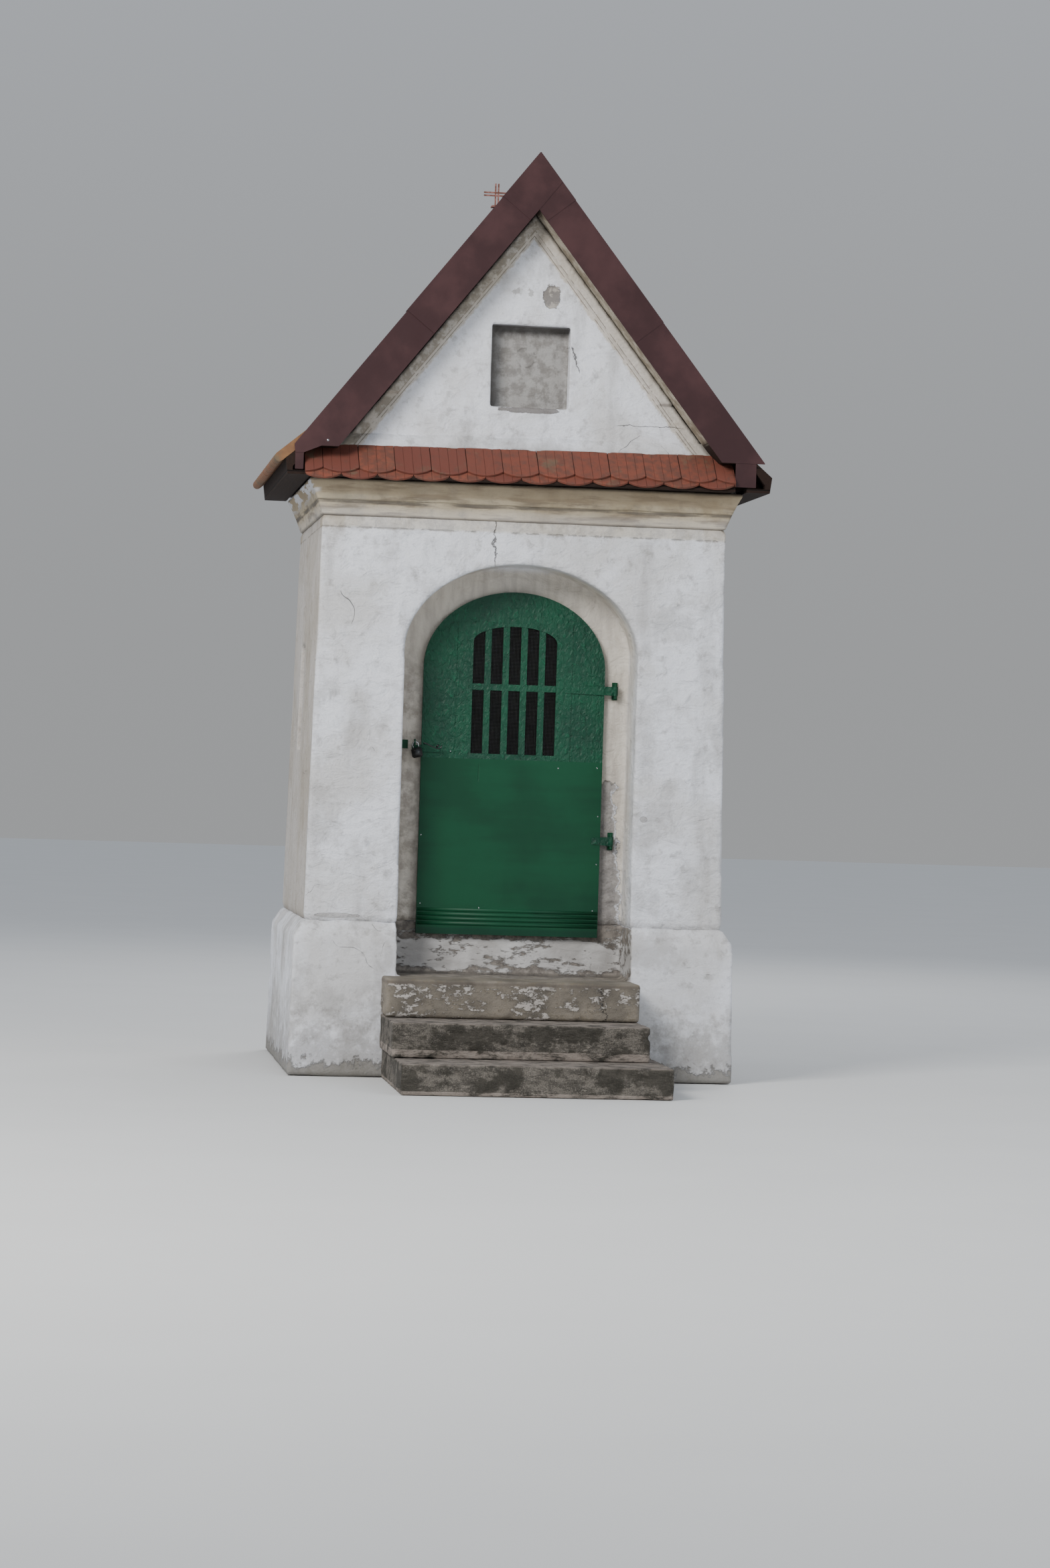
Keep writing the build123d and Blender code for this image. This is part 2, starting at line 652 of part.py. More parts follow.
with BuildPart() as grille_panel:
    block(-grille_half_width - PANEL_SIDE, grille_half_width + PANEL_SIDE, panel_front, leaf_front,
          panel_foot, panel_top)
    grille_cut()
    strap(upper_hinge_z, UPPER_STRAP_LENGTH, Mode.SUBTRACT)
save(grille_panel, "grille_panel")

with BuildPart() as lower_sheet:
    block(-door_half_width, door_half_width, panel_front, leaf_front, door_foot, panel_foot)
    for number in range(RIBS):
        rib_foot = door_foot + RIB_FIRST + number * RIB_PITCH
        block(-door_half_width, door_half_width, panel_front - RIB_REACH, panel_front,
              rib_foot, rib_foot + RIB_WIDTH)
    strap(lower_hinge_z, LOWER_STRAP_LENGTH, Mode.SUBTRACT)
save(lower_sheet, "lower_sheet")

grille_back = leaf_front + BAR_THICKNESS
with BuildPart() as door_grille:
    bar_pitch = (GRILLE_WIDTH + BAR_WIDTH) / (BARS + 1)
    for number in range(BARS):
        bar_left = (number + 1) * bar_pitch - BAR_WIDTH - grille_half_width
        block(bar_left, bar_left + BAR_WIDTH, leaf_front, grille_back, grille_foot, panel_top)
    block(-grille_half_width, grille_half_width, leaf_front, grille_back,
          upper_hinge_z - BAR_WIDTH / 2, upper_hinge_z + BAR_WIDTH / 2)
    arched(FAR, 2 * FAR, grille_half_width - SEAT, grille_foot + SEAT, grille_spring,
           GRILLE_RISE - SEAT, Mode.INTERSECT)
save(door_grille, "door_grille")

with BuildPart() as door_mesh:
    arched(grille_back + MESH_THICKNESS, MESH_THICKNESS, grille_half_width - SEAT,
           grille_foot + SEAT, grille_spring, GRILLE_RISE - SEAT)
save(door_mesh, "door_mesh")


def knuckle(z):
    """Add a strap's knuckle and bore it for the pin."""
    with Locations((hinge_x, hinge_y, z)):
        Cylinder(KNUCKLE_RADIUS, STRAP_HEIGHT)
        Cylinder(PIN_RADIUS + PIN_PLAY, STRAP_HEIGHT, mode=Mode.SUBTRACT)


def pintle(z):
    """Add a pin with its arm and its plate on the wall."""
    strap_foot = z - STRAP_HEIGHT / 2
    plate_front = recess_back - PINTLE_PLATE
    with Locations((hinge_x, hinge_y, z)):
        Cylinder(PIN_RADIUS, STRAP_HEIGHT + 2 * PINTLE_ARM)
    block(hinge_x - PIN_RADIUS, hinge_x + PIN_RADIUS, hinge_y, plate_front,
          strap_foot - PINTLE_ARM, strap_foot - SEAT)
    block(hinge_x - 2 * PIN_RADIUS, hinge_x + 2 * PIN_RADIUS, plate_front, recess_back,
          z - PINTLE_PLATE_HEIGHT / 2, z + PINTLE_PLATE_HEIGHT / 2)


with BuildPart() as hinge_straps:
    strap(upper_hinge_z, UPPER_STRAP_LENGTH)
    knuckle(upper_hinge_z)
    strap(lower_hinge_z, LOWER_STRAP_LENGTH)
    knuckle(lower_hinge_z)
save(hinge_straps, "hinge_straps")

with BuildPart() as hinge_pintles:
    pintle(upper_hinge_z)
    pintle(lower_hinge_z)
save(hinge_pintles, "hinge_pintles")

hasp_z = grille_foot + HASP_OVER_GRILLE_FOOT
hasp_front = panel_front - HASP_THICKNESS
eye_x = -door_half_width - EYE_OUTSIDE
with BuildPart() as hasp:
    block(-door_half_width - HASP_OUTSIDE, HASP_INSIDE - door_half_width, hasp_front, leaf_front,
          hasp_z - HASP_HEIGHT / 2, hasp_z + HASP_HEIGHT / 2)
    block(eye_x - EYE_THICKNESS / 2, eye_x + EYE_THICKNESS / 2, hasp_front - EYE_REACH, leaf_front,
          hasp_z + EYE_FOOT, hasp_z + EYE_HEIGHT)
    eye_centre = (eye_x, hasp_front - EYE_REACH + 2 * EYE_HOLE, hasp_z + EYE_HEIGHT - 2 * EYE_HOLE)
    with Locations(Location(eye_centre, (0, 90, 0))):
        Cylinder(EYE_HOLE, 2 * EYE_THICKNESS, mode=Mode.SUBTRACT)
save(hasp, "hasp")

shackle_y = eye_centre[1]
shackle_top = eye_centre[2] - EYE_HOLE + EYE_PLAY + SHACKLE_WIRE
bow_z = shackle_top - SHACKLE_HALF_SPAN
padlock_top = bow_z - SHACKLE_LEG
leg_left = eye_x - SHACKLE_HALF_SPAN
leg_right = eye_x + SHACKLE_HALF_SPAN
with BuildPart() as padlock:
    block(eye_x - PADLOCK_WIDTH / 2, eye_x + PADLOCK_WIDTH / 2, shackle_y - PADLOCK_DEPTH / 2,
          shackle_y + PADLOCK_DEPTH / 2, padlock_top - PADLOCK_HEIGHT, padlock_top)
    with BuildLine(Plane.XZ.offset(-shackle_y)) as shackle_path:
        Line((leg_left, padlock_top), (leg_left, bow_z))
        ThreePointArc((leg_left, bow_z), (eye_x, shackle_top), (leg_right, bow_z))
        Line((leg_right, bow_z), (leg_right, padlock_top))
    with BuildSketch(Plane(origin=(leg_left, shackle_y, padlock_top), z_dir=(0, 0, 1))):
        Circle(SHACKLE_WIRE)
    sweep(path=shackle_path.line)
save(padlock, "padlock")

with BuildPart() as wall_staple:
    staple_x = -door_half_width - STAPLE_OUTSIDE
    staple_z = hasp_z + STAPLE_OVER_HASP
    block(staple_x - STAPLE_PLATE / 2, staple_x + STAPLE_PLATE / 2, recess_back - STAPLE_THICKNESS,
          recess_back, staple_z - STAPLE_PLATE / 2, staple_z + STAPLE_PLATE / 2)
save(wall_staple, "wall_staple")
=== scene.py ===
from math import atan, ceil, cos, log2, radians, sin, sqrt, tan

import bmesh
import bpy
from mathutils import Matrix, Vector, noise


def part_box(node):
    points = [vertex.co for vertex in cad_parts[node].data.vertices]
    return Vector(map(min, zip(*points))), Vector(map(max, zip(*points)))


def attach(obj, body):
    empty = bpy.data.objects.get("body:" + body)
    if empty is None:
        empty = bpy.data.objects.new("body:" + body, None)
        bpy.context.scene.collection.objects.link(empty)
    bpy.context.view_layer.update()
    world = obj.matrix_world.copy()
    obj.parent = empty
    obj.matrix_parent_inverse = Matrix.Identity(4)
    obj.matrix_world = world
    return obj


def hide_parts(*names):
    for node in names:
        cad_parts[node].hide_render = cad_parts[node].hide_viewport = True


# A plastered wayside shrine, dressed over its CAD frame. Sizes are in metres, the front faces -Y.

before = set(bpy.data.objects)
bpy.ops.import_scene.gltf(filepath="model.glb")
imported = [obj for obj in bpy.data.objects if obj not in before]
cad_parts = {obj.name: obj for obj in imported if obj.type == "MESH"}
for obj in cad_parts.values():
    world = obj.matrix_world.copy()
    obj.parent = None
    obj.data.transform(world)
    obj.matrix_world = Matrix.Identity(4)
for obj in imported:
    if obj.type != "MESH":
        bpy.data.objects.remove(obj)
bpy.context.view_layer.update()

# Camera, fitted to the photograph: the masonry leans there, so the camera is rolled
CAMERA_PLACE = (-2.397, -19.3, 1.485)
CAMERA_YAW = radians(7.49)
CAMERA_ROLL = radians(1.79)
LENS = 85.19
LONG_SIDE = 36.0

# The roof's main lines, from the frame
EAVE_LIFT = 0.143  # verge's top line over the cornice's top, at the deck's end
ridge_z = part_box("verge_front_right")[1].z
cornice_foot, cornice_top = (corner.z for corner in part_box("cornice_front"))
roof_front, roof_back = (corner.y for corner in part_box("roof_deck_right"))
eave_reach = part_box("roof_deck_right")[1].x
slope = atan((ridge_z - cornice_top - EAVE_LIFT) / eave_reach)
gable_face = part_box("skirt_tiles")[1].y
plinth_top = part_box("plinth_front")[1].z
wall_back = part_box("back_wall")[1].y
BATTER = tan(radians(1.0))  # the walls lean in by this much per height


# Node trees
def operator(kind, swapped=False):
    """A Math node as an operator between two values."""
    def apply(self, other):
        return self.math(kind, *((other, self) if swapped else (self, other)))
    return apply


class Wire:
    """A value in a node tree: arithmetic on it adds Math nodes."""

    def __init__(self, graph, socket):
        self.graph = graph
        self.socket = socket

    def math(self, operation, *values):
        return self.graph.wire("ShaderNodeMath", {"operation": operation}, dict(enumerate(values)))

    __add__ = __radd__ = operator("ADD")
    __sub__ = operator("SUBTRACT")
    __rsub__ = operator("SUBTRACT", swapped=True)
    __mul__ = __rmul__ = operator("MULTIPLY")
    __truediv__ = operator("DIVIDE")
    __rtruediv__ = operator("DIVIDE", swapped=True)
    __mod__ = operator("FLOORED_MODULO")
    __pow__ = operator("POWER")
    most = operator("MAXIMUM")

    def __abs__(self):
        return self.math("ABSOLUTE", self)

    def floor(self):
        return self.math("FLOOR", self)

    def fade(self, low, high):
        """0 to 1 as the value goes from low to high, smoothly."""
        sockets = {"Value": self, "From Min": low, "From Max": high}
        return self.graph.wire("ShaderNodeMapRange", {"interpolation_type": "SMOOTHSTEP"}, sockets)

    def mix(self, first, second):
        """Colour that goes from the first to the second as the value goes to 1."""
        return self.graph.wire("ShaderNodeMix", {"data_type": "RGBA"}, {0: self, 6: first, 7: second}, output=2)


class Graph:
    """A node tree under construction."""

    def __init__(self, tree):
        self.tree = tree

    def node(self, kind, settings=(), sockets=()):
        """One node: its settings first, then its sockets' values or links."""
        made = self.tree.nodes.new(kind)
        for name, value in dict(settings).items():
            setattr(made, name, value)
        for key, value in dict(sockets).items():
            if isinstance(value, Wire):
                self.tree.links.new(value.socket, made.inputs[key])
            else:
                made.inputs[key].default_value = value
        return made

    def wire(self, kind, settings=(), sockets=(), output=0):
        """One node's output as a value."""
        return Wire(self, self.node(kind, settings, sockets).outputs[output])


def paint(red, green, blue):
    """A colour given as 0 to 255 per channel, as the shaders need it."""
    channels = []
    for channel in (red, green, blue):
        share = channel / 255
        channels.append(share / 12.92 if share <= 0.04045 else ((share + 0.055) / 1.055) ** 2.4)
    return (*channels, 1.0)


class Finish(Graph):
    """A procedural material under construction."""

    def __init__(self, name):
        self.material = bpy.data.materials.new(name)
        self.material.use_nodes = True
        super().__init__(self.material.node_tree)
        self.tree.nodes.clear()
        self.place = self.wire("ShaderNodeTexCoord", output="Object")
        split = self.node("ShaderNodeSeparateXYZ", (), {0: self.place})
        self.x, self.y, self.z = (Wire(self, socket) for socket in split.outputs)

    def shifted(self, stretch, shift):
        """Object coordinates, stretched and moved."""
        sockets = {0: self.place, 1: stretch, 2: (shift, shift, shift)}
        return self.wire("ShaderNodeVectorMath", {"operation": "MULTIPLY_ADD"}, sockets)

    def clouds(self, size, detail=4.0, roughness=0.55, stretch=(1, 1, 1), shift=0.0, twist=0.0):
        """Cloudy variation about 0.5, with blotches of a size in metres."""
        return self.wire("ShaderNodeTexNoise", (), {
            "Vector": self.shifted(stretch, shift), "Scale": 1 / size, "Detail": detail, "Roughness": roughness,
            "Distortion": twist})

    def cell_edges(self, size, wobble):
        """Distance to the nearest edge of wobbly cells, in cell sizes."""
        drift = self.wire("ShaderNodeTexNoise", (), {"Vector": self.place, "Scale": 2 / size}, output=1)
        sockets = {0: drift, 1: (wobble, wobble, wobble), 2: self.place}
        place = self.wire("ShaderNodeVectorMath", {"operation": "MULTIPLY_ADD"}, sockets)
        return self.wire("ShaderNodeTexVoronoi", {"feature": "DISTANCE_TO_EDGE"}, {"Vector": place, "Scale": 1 / size})

    def patch(self, centre, reach, wobble):
        """Mask of one ragged patch on a front face, by its centre and half sizes in x and z."""
        across = (self.x - centre[0]) / reach[0]
        up = (self.z - centre[1]) / reach[1]
        away = (across * across + up * up) ** 0.5 + (wobble - 0.5) * 1.6
        return away.fade(1.0, 0.94)

    def attribute(self, name, output="Fac"):
        """A value stored on the mesh."""
        return self.wire("ShaderNodeAttribute", {"attribute_name": name}, output=output)

    def stain(self, mask, colour):
        """Go over to another colour as the mask goes to 1."""
        self.colour = mask.mix(self.colour, colour)

    def surface(self, roughness, height=None, depth=0.001, **constants):
        """Finish the material with a Principled shader."""
        sockets = {"Base Color": self.colour, "Roughness": roughness}
        if height is not None:
            bump = {"Strength": 1.0, "Distance": depth, "Height": height}
            sockets["Normal"] = self.wire("ShaderNodeBump", (), bump)
        for name, value in constants.items():
            sockets[name.replace("_", " ")] = value
        shader = self.wire("ShaderNodeBsdfPrincipled", (), sockets)
        self.node("ShaderNodeOutputMaterial", (), {"Surface": shader})
        return self.material


class Pattern(Graph):
    """A Geometry Nodes tree with named inputs that repeats a shape."""

    def __init__(self, name, sizes):
        super().__init__(bpy.data.node_groups.new(name, "GeometryNodeTree"))
        face = self.tree.interface
        face.new_socket("Shape", in_out="INPUT", socket_type="NodeSocketGeometry")
        for size, value in sizes.items():
            kind = "NodeSocketInt" if isinstance(value, int) else "NodeSocketFloat"
            face.new_socket(size, in_out="INPUT", socket_type=kind).default_value = value
        face.new_socket("Finish", in_out="INPUT", socket_type="NodeSocketMaterial")
        face.new_socket("Pieces", in_out="OUTPUT", socket_type="NodeSocketGeometry")
        self.entry = self.node("NodeGroupInput")

    def given(self, name):
        """One of the tree's named inputs."""
        return Wire(self, self.entry.outputs[name])

    def close(self, instances):
        """End the tree: make the instances real and give them their material."""
        real = self.wire("GeometryNodeRealizeInstances", (), {0: instances})
        dressed = self.wire("GeometryNodeSetMaterial", (), {"Geometry": real, "Material": self.given("Finish")})
        self.node("NodeGroupOutput", (), {0: dressed})

    def grow(self, shape, material, **sizes):
        """The repeated pieces of a shape as a plain mesh."""
        seed = linked("seed", shape)
        modifier = seed.modifiers.new("pattern", "NODES")
        modifier.node_group = self.tree
        values = {**sizes, "Finish": material}
        for socket in self.tree.interface.items_tree:
            if socket.name in values:
                modifier[socket.identifier] = values[socket.name]
        mesh = settled(seed)
        bpy.data.objects.remove(seed)
        return mesh


def linked(name, data):
    """A new object in the scene."""
    made = bpy.data.objects.new(name, data)
    bpy.context.scene.collection.objects.link(made)
    return made


def settled(thing):
    """An object's mesh with its modifiers applied, as a new plain mesh."""
    shown = thing.evaluated_get(bpy.context.evaluated_depsgraph_get())
    return bpy.data.meshes.new_from_object(shown)


def piece(name, mesh, material, body="root", smooth=True, replaced=()):
    """A finished piece at the origin that rides on a CAD body."""
    made = linked(name, mesh)
    mesh.materials.clear()
    mesh.materials.append(material)
    mesh.polygons.foreach_set("material_index", [0] * len(mesh.polygons))
    mesh.polygons.foreach_set("use_smooth", [smooth] * len(mesh.polygons))
    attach(made, body)
    if replaced:
        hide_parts(*replaced)


def dress(material, *names):
    """Give CAD nodes a material."""
    for name in names:
        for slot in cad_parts[name].material_slots:
            slot.material = material


def plain(shape):
    """A bmesh as a mesh."""
    mesh = bpy.data.meshes.new("shape")
    shape.to_mesh(mesh)
    shape.free()
    return mesh


def mesh_of(shape):
    """A bmesh as a mesh whose faces point outwards."""
    bmesh.ops.recalc_face_normals(shape, faces=shape.faces)
    return plain(shape)


def skin(shape, rings):
    """Add a body over closed rings of points, with a face at each end."""
    rings = [[shape.verts.new(point) for point in ring] for ring in rings]
    for low, high in zip(rings, rings[1:]):
        for here in range(len(low)):
            after = (here + 1) % len(low)
            shape.faces.new((low[here], low[after], high[after], high[here]))
    shape.faces.new(rings[0])
    shape.faces.new(list(reversed(rings[-1])))


def rod(shape, path, radius, sides=8):
    """Add a round bar along a path of points."""
    rings = []
    for number, point in enumerate(path):
        ahead = Vector(path[min(number + 1, len(path) - 1)]) - Vector(path[max(number - 1, 0)])
        turn = ahead.to_track_quat("Z", "Y").to_matrix()
        angles = [radians(360) * side / sides for side in range(sides)]
        rings.append([Vector(point) + turn @ Vector((cos(angle), sin(angle), 0)) * radius for angle in angles])
    skin(shape, rings)


WELD = 0.00002  # loose corners closer than this are one


def merged(name):
    """A CAD node's mesh with its loose triangles joined."""
    shape = bmesh.new()
    shape.from_mesh(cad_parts[name].data)
    bmesh.ops.remove_doubles(shape, verts=shape.verts, dist=WELD)
    return mesh_of(shape)


def longest_side(names):
    """The longest side of the box around some CAD nodes."""
    corners = [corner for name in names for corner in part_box(name)]
    return max(max(axis) - min(axis) for axis in zip(*corners))


# Plaster and stone: CAD solids made one and remeshed, so that their edges are soft and uneven
OCTREE_FILL = 0.98  # largest share of the remesh's cube that a piece may take
CHIP_START = 0.35  # noise above this chips the surface


def weathered(names, cell, swell, swell_size, chip=0.0, chip_size=0.1, upright=1.0):
    """A mesh of joined CAD nodes with rounded edges and an uneven face, less so on level faces."""
    rough = linked("rough", merged(names[0]))
    others = [bpy.data.objects.new("other", merged(name)) for name in names[1:]]
    for other in others:
        union = rough.modifiers.new("union", "BOOLEAN")
        union.operation = "UNION"
        union.solver = "EXACT"
        union.object = other
    remesh = rough.modifiers.new("remesh", "REMESH")
    remesh.mode = "SMOOTH"
    remesh.use_remove_disconnected = False
    cells = longest_side(names) / cell
    remesh.octree_depth = ceil(log2(cells / OCTREE_FILL))
    remesh.scale = cells / 2 ** remesh.octree_depth
    mesh = settled(rough)
    for used in (rough, *others):
        bpy.data.objects.remove(used)
    normals = [vertex.normal.copy() for vertex in mesh.vertices]
    for vertex, normal in zip(mesh.vertices, normals):
        push = -swell * (0.5 - 0.5 * noise.fractal(vertex.co / swell_size, 1.0, 2.0, 3))
        if chip:
            push -= chip * max(0.0, noise.noise(vertex.co / chip_size + Vector((7, 3, 1))) - CHIP_START)
        vertex.co += Vector((normal.x, normal.y, normal.z * upright)) * push
        vertex.co.z = max(vertex.co.z, 0.0)
    return mesh


# Colours
WHITEWASH = paint(222, 224, 230)
WHITEWASH_WORN = paint(198, 197, 197)
RENDER_GREY = paint(132, 128, 123)
# dark colour for cracks and marks, also used as painted shade
DARK_MARK_AND_SHADE = paint(74, 70, 66)
GRIME = paint(112, 106, 98)
CREAM = paint(186, 172, 146)
CREAM_WORN = paint(146, 130, 102)

# Places that the finishes follow, those on a face by x and z
RECESS_HALF = 0.60
NICHE_HEAD = cornice_top + 0.805
NICHE_LEFT = -0.1975
RING_PLACE = (-0.015, 3.64)  # trace of a painted ring in the niche
RING_RADIUS = 0.05
RAKE_SEAMS = (0.228, 0.243)  # down from the verge's top line
SPLIT_PLACE = (0.225, 3.63)
HAIRLINE_PLACE = (0.62, 3.31)
CROWN_CRACK = -0.15  # over the recess
BAND_FOOT = 2.744  # cream band under the cornice
DENT_PLACE = (-0.17, 1.535)  # on the door's lower sheet
SOFFIT_FRONT = -0.78
STEP_COURSE = 0.17  # rise of one granite step
WIRES_PER_METRE = 140.0


def plaster_face(coat, first, second, wear):
    """Colour, bare spots, height and grain of old plaster: stains, chips and hairline cracks."""
    broad = coat.clouds(0.6, 6, 0.6, twist=0.4)
    streaks = coat.clouds(0.16, 5, stretch=(1, 1, 0.2), shift=3.0)
    fine = coat.clouds(0.010, 3, shift=5.0)
    trowel = coat.clouds(0.10, 5, stretch=(1, 1, 1.6), shift=9.0, twist=0.8)
    spots = coat.clouds(0.06, 9, 0.68, shift=2.0)
    coat.colour = broad.fade(0.42, 0.66).mix(first, second)
    coat.stain(streaks.fade(0.54, 0.78) * 0.4, GRIME)
    coat.stain(spots.fade(0.53, 0.70) * 0.42, GRIME)
    worn = coat.clouds(0.22, 8, 0.66, stretch=(1, 1, 0.8), shift=17.0)
    coat.stain(worn.fade(0.50, 0.64) * 0.34, RENDER_GREY)
    coat.stain(fine.fade(0.4, 0.8) * 0.12, RENDER_GREY)
    bare = (spots + broad * 0.3).fade(0.93 - wear * 0.1, 0.945 - wear * 0.1)
    coat.stain(bare * 0.75, fine.mix(RENDER_GREY, GRIME))
    line = coat.cell_edges(0.55, 0.35)
    crack = line.fade(0.004, 0.0) * broad.fade(0.58, 0.64)
    coat.stain(crack * 0.6, DARK_MARK_AND_SHADE)
    height = trowel * 0.8 + fine * 0.12 + spots * 0.35 - bare * 0.35 - crack * 0.4
    return bare, height, fine


def white_plaster():
    """Cool whitewash over grey render, with the bare cement patches seen in the photograph."""
    coat = Finish("white_plaster")
    x, y, z = coat.x, coat.y, coat.z
    bare, height, fine = plaster_face(coat, WHITEWASH, WHITEWASH_WORN, 0.2)
    ragged = coat.clouds(0.07, 9, 0.68, shift=11.0)
    streaks = coat.clouds(0.05, 6, stretch=(1, 1, 0.22), shift=14.0)
    recess = abs(x).fade(RECESS_HALF, RECESS_HALF - 0.015) * z.fade(2.60, 2.55)
    deep = recess * y.fade(-0.79, -0.60) * y.fade(-0.45, -0.48)
    coat.stain(deep * 0.85, streaks.fade(0.40, 0.66).mix(paint(206, 198, 184), paint(182, 173, 160)))
    left_jamb = deep * x.fade(-0.40, -0.50) * z.fade(2.3, 1.9)
    coat.stain(left_jamb * ragged.fade(0.40, 0.62) * 0.6, paint(128, 118, 108))
    cement = ragged.fade(0.4, 0.6).mix(paint(136, 130, 124), paint(104, 98, 93))
    spread = 0.545 + z.fade(1.45, 0.90) * 0.035
    ragged_x = x + (ragged - 0.5) * 0.16
    beside_door = x.fade(0.462, 0.466) * ragged_x.fade(spread, spread - 0.004)
    beside_door = beside_door * y.fade(-0.70, -0.66) * y.fade(-0.30, -0.34)
    beside_door = beside_door * (z + ragged * 0.25).fade(1.63, 1.62)
    shoulder = coat.patch((-0.90, 0.80), (0.12, 0.012), ragged)
    right_pier = coat.patch((0.645, 1.325), (0.022, 0.018), ragged)
    front = y.fade(0.0, -0.1)
    bared = beside_door.most(shoulder * front * 0.6).most(right_pier * front * 0.6)
    coat.stain(bared, (fine * 0.4).mix(cement, WHITEWASH_WORN))
    flaking = beside_door * (1.0 - ragged_x.fade(spread - 0.004, spread - 0.022))
    coat.stain(flaking * 0.8, WHITEWASH)
    split = x - CROWN_CRACK - (coat.clouds(0.05, 3, shift=4.0) - 0.5) * 0.07
    crown = abs(split).fade(0.0035, 0.001) * z.fade(2.56, 2.60)
    crown = crown * z.fade(2.82, 2.79) * y.fade(-0.7, -0.74)
    band = (z + (ragged - 0.5) * 0.04).fade(BAND_FOOT - 0.012, BAND_FOOT + 0.008) * abs(y).fade(0.60, 0.62)
    coat.stain(band * 0.6, ragged.fade(0.4, 0.6).mix(paint(186, 176, 156), paint(148, 138, 120)))
    line = abs(z - BAND_FOOT + (ragged - 0.5) * 0.012).fade(0.005, 0.002) * ragged.fade(0.46, 0.56) * 0.35
    coat.stain(crown.most(line) * 0.8, DARK_MARK_AND_SHADE)
    foot = (z + ragged * 0.12).fade(0.90, 0.82)
    coat.stain(foot * ragged.fade(0.44, 0.6) * 0.4, GRIME)
    flank = abs(x).fade(0.90, 0.92) * y.fade(-0.785, -0.765)
    flank = flank * (y + (z - plinth_top) * BATTER).fade(wall_back - 0.012, wall_back - 0.020)
    coat.stain(flank * 0.55, CREAM_WORN)
    height = height - bared * 0.7 - crown * 0.8 - line * 0.5
    return coat.surface(0.78 + bare * 0.12 + fine * 0.08, height, 0.020)


def gable_plaster():
    """The gable's whitewash, cream and stained along the rakes, with painted shadow under the verges and in the
    niche's head and left cheek.
    """
    coat = Finish("gable_plaster")
    x, y, z = coat.x, coat.y, coat.z
    bare, height, fine = plaster_face(coat, WHITEWASH, WHITEWASH_WORN, 0.2)
    ragged = coat.clouds(0.05, 7, 0.65, shift=11.0)
    under_rake = (ridge_z - z) * cos(slope) - abs(x) * sin(slope)
    rake = (under_rake + (ragged - 0.5) * 0.05).fade(0.262, 0.248)
    coat.stain(rake * 0.6, fine.mix(CREAM, CREAM_WORN))
    upper_seam, lower_seam = (abs(under_rake - seam).fade(0.003, 0.001) for seam in RAKE_SEAMS)
    seams = upper_seam.most(lower_seam)
    coat.stain(seams * ragged.fade(0.40, 0.50) * 0.8, paint(108, 100, 90))
    scraped = under_rake.fade(0.236, 0.226) * x.fade(0.10, -0.02)
    coat.stain(scraped * ragged.fade(0.40, 0.56) * 0.75, paint(134, 125, 110))
    # painted shadow: the gable is darkened in a band just under the verge flashings
    coat.stain(under_rake.fade(0.200, 0.178) * 0.7, DARK_MARK_AND_SHADE)
    front = y.fade(0.0, -0.1)
    niche_face = y.fade(gable_face + 0.06, gable_face + 0.08) * front
    coat.stain(niche_face * 0.9, ragged.fade(0.4, 0.6).mix(paint(140, 137, 132), paint(104, 99, 92)))
    from_middle = ((x - RING_PLACE[0]) ** 2.0 + (z - RING_PLACE[1]) ** 2.0) ** 0.5
    painted = abs(from_middle - RING_RADIUS).fade(0.008, 0.002)
    coat.stain(painted * niche_face * ragged.fade(0.44, 0.56) * 0.5, DARK_MARK_AND_SHADE)
    # painted shadow inside the niche, along its head and its left cheek
    inside = y.fade(gable_face + 0.012, gable_face + 0.02) * front
    head = (z + ragged * 0.02).fade(NICHE_HEAD - 0.045, NICHE_HEAD - 0.005)
    cheek = (x + ragged * 0.02).fade(NICHE_LEFT + 0.055, NICHE_LEFT + 0.015)
    coat.stain(inside * head.most(cheek) * 0.75, paint(70, 66, 62))
    chipped = coat.patch((0.095, 3.945), (0.050, 0.055), ragged) * front
    flaked = coat.patch((-0.05, 3.955), (0.060, 0.030), ragged) * front
    coat.stain(chipped * 0.85, ragged.fade(0.42, 0.50).mix(paint(150, 142, 130), paint(92, 84, 74)))
    coat.stain(flaked * ragged.fade(0.46, 0.50) * 0.6, RENDER_GREY)
    broken = coat.patch((0.0, 3.366), (0.17, 0.016), ragged) * front
    coat.stain(broken * 0.8, paint(84, 76, 68))
    across = x - SPLIT_PLACE[0] - (SPLIT_PLACE[1] - z) * 0.35 + (ragged - 0.5) * 0.06
    split = abs(across).fade(0.003, 0.001) * abs(z - SPLIT_PLACE[1]).fade(0.07, 0.05) * front
    coat.stain(split * 0.8, DARK_MARK_AND_SHADE)
    hairline = abs(z - HAIRLINE_PLACE[1] + (ragged - 0.5) * 0.03).fade(0.0018, 0.0006)
    hairline = hairline * abs(x - HAIRLINE_PLACE[0]).fade(0.18, 0.12) * front
    coat.stain(hairline * 0.8, DARK_MARK_AND_SHADE)
    coat.stain((z + ragged * 0.08).fade(3.27, 3.19) * 0.2, GRIME)
    height = height - chipped * 0.5 - broken - hairline - split
    return coat.surface(0.78 + bare * 0.12, height, 0.015)


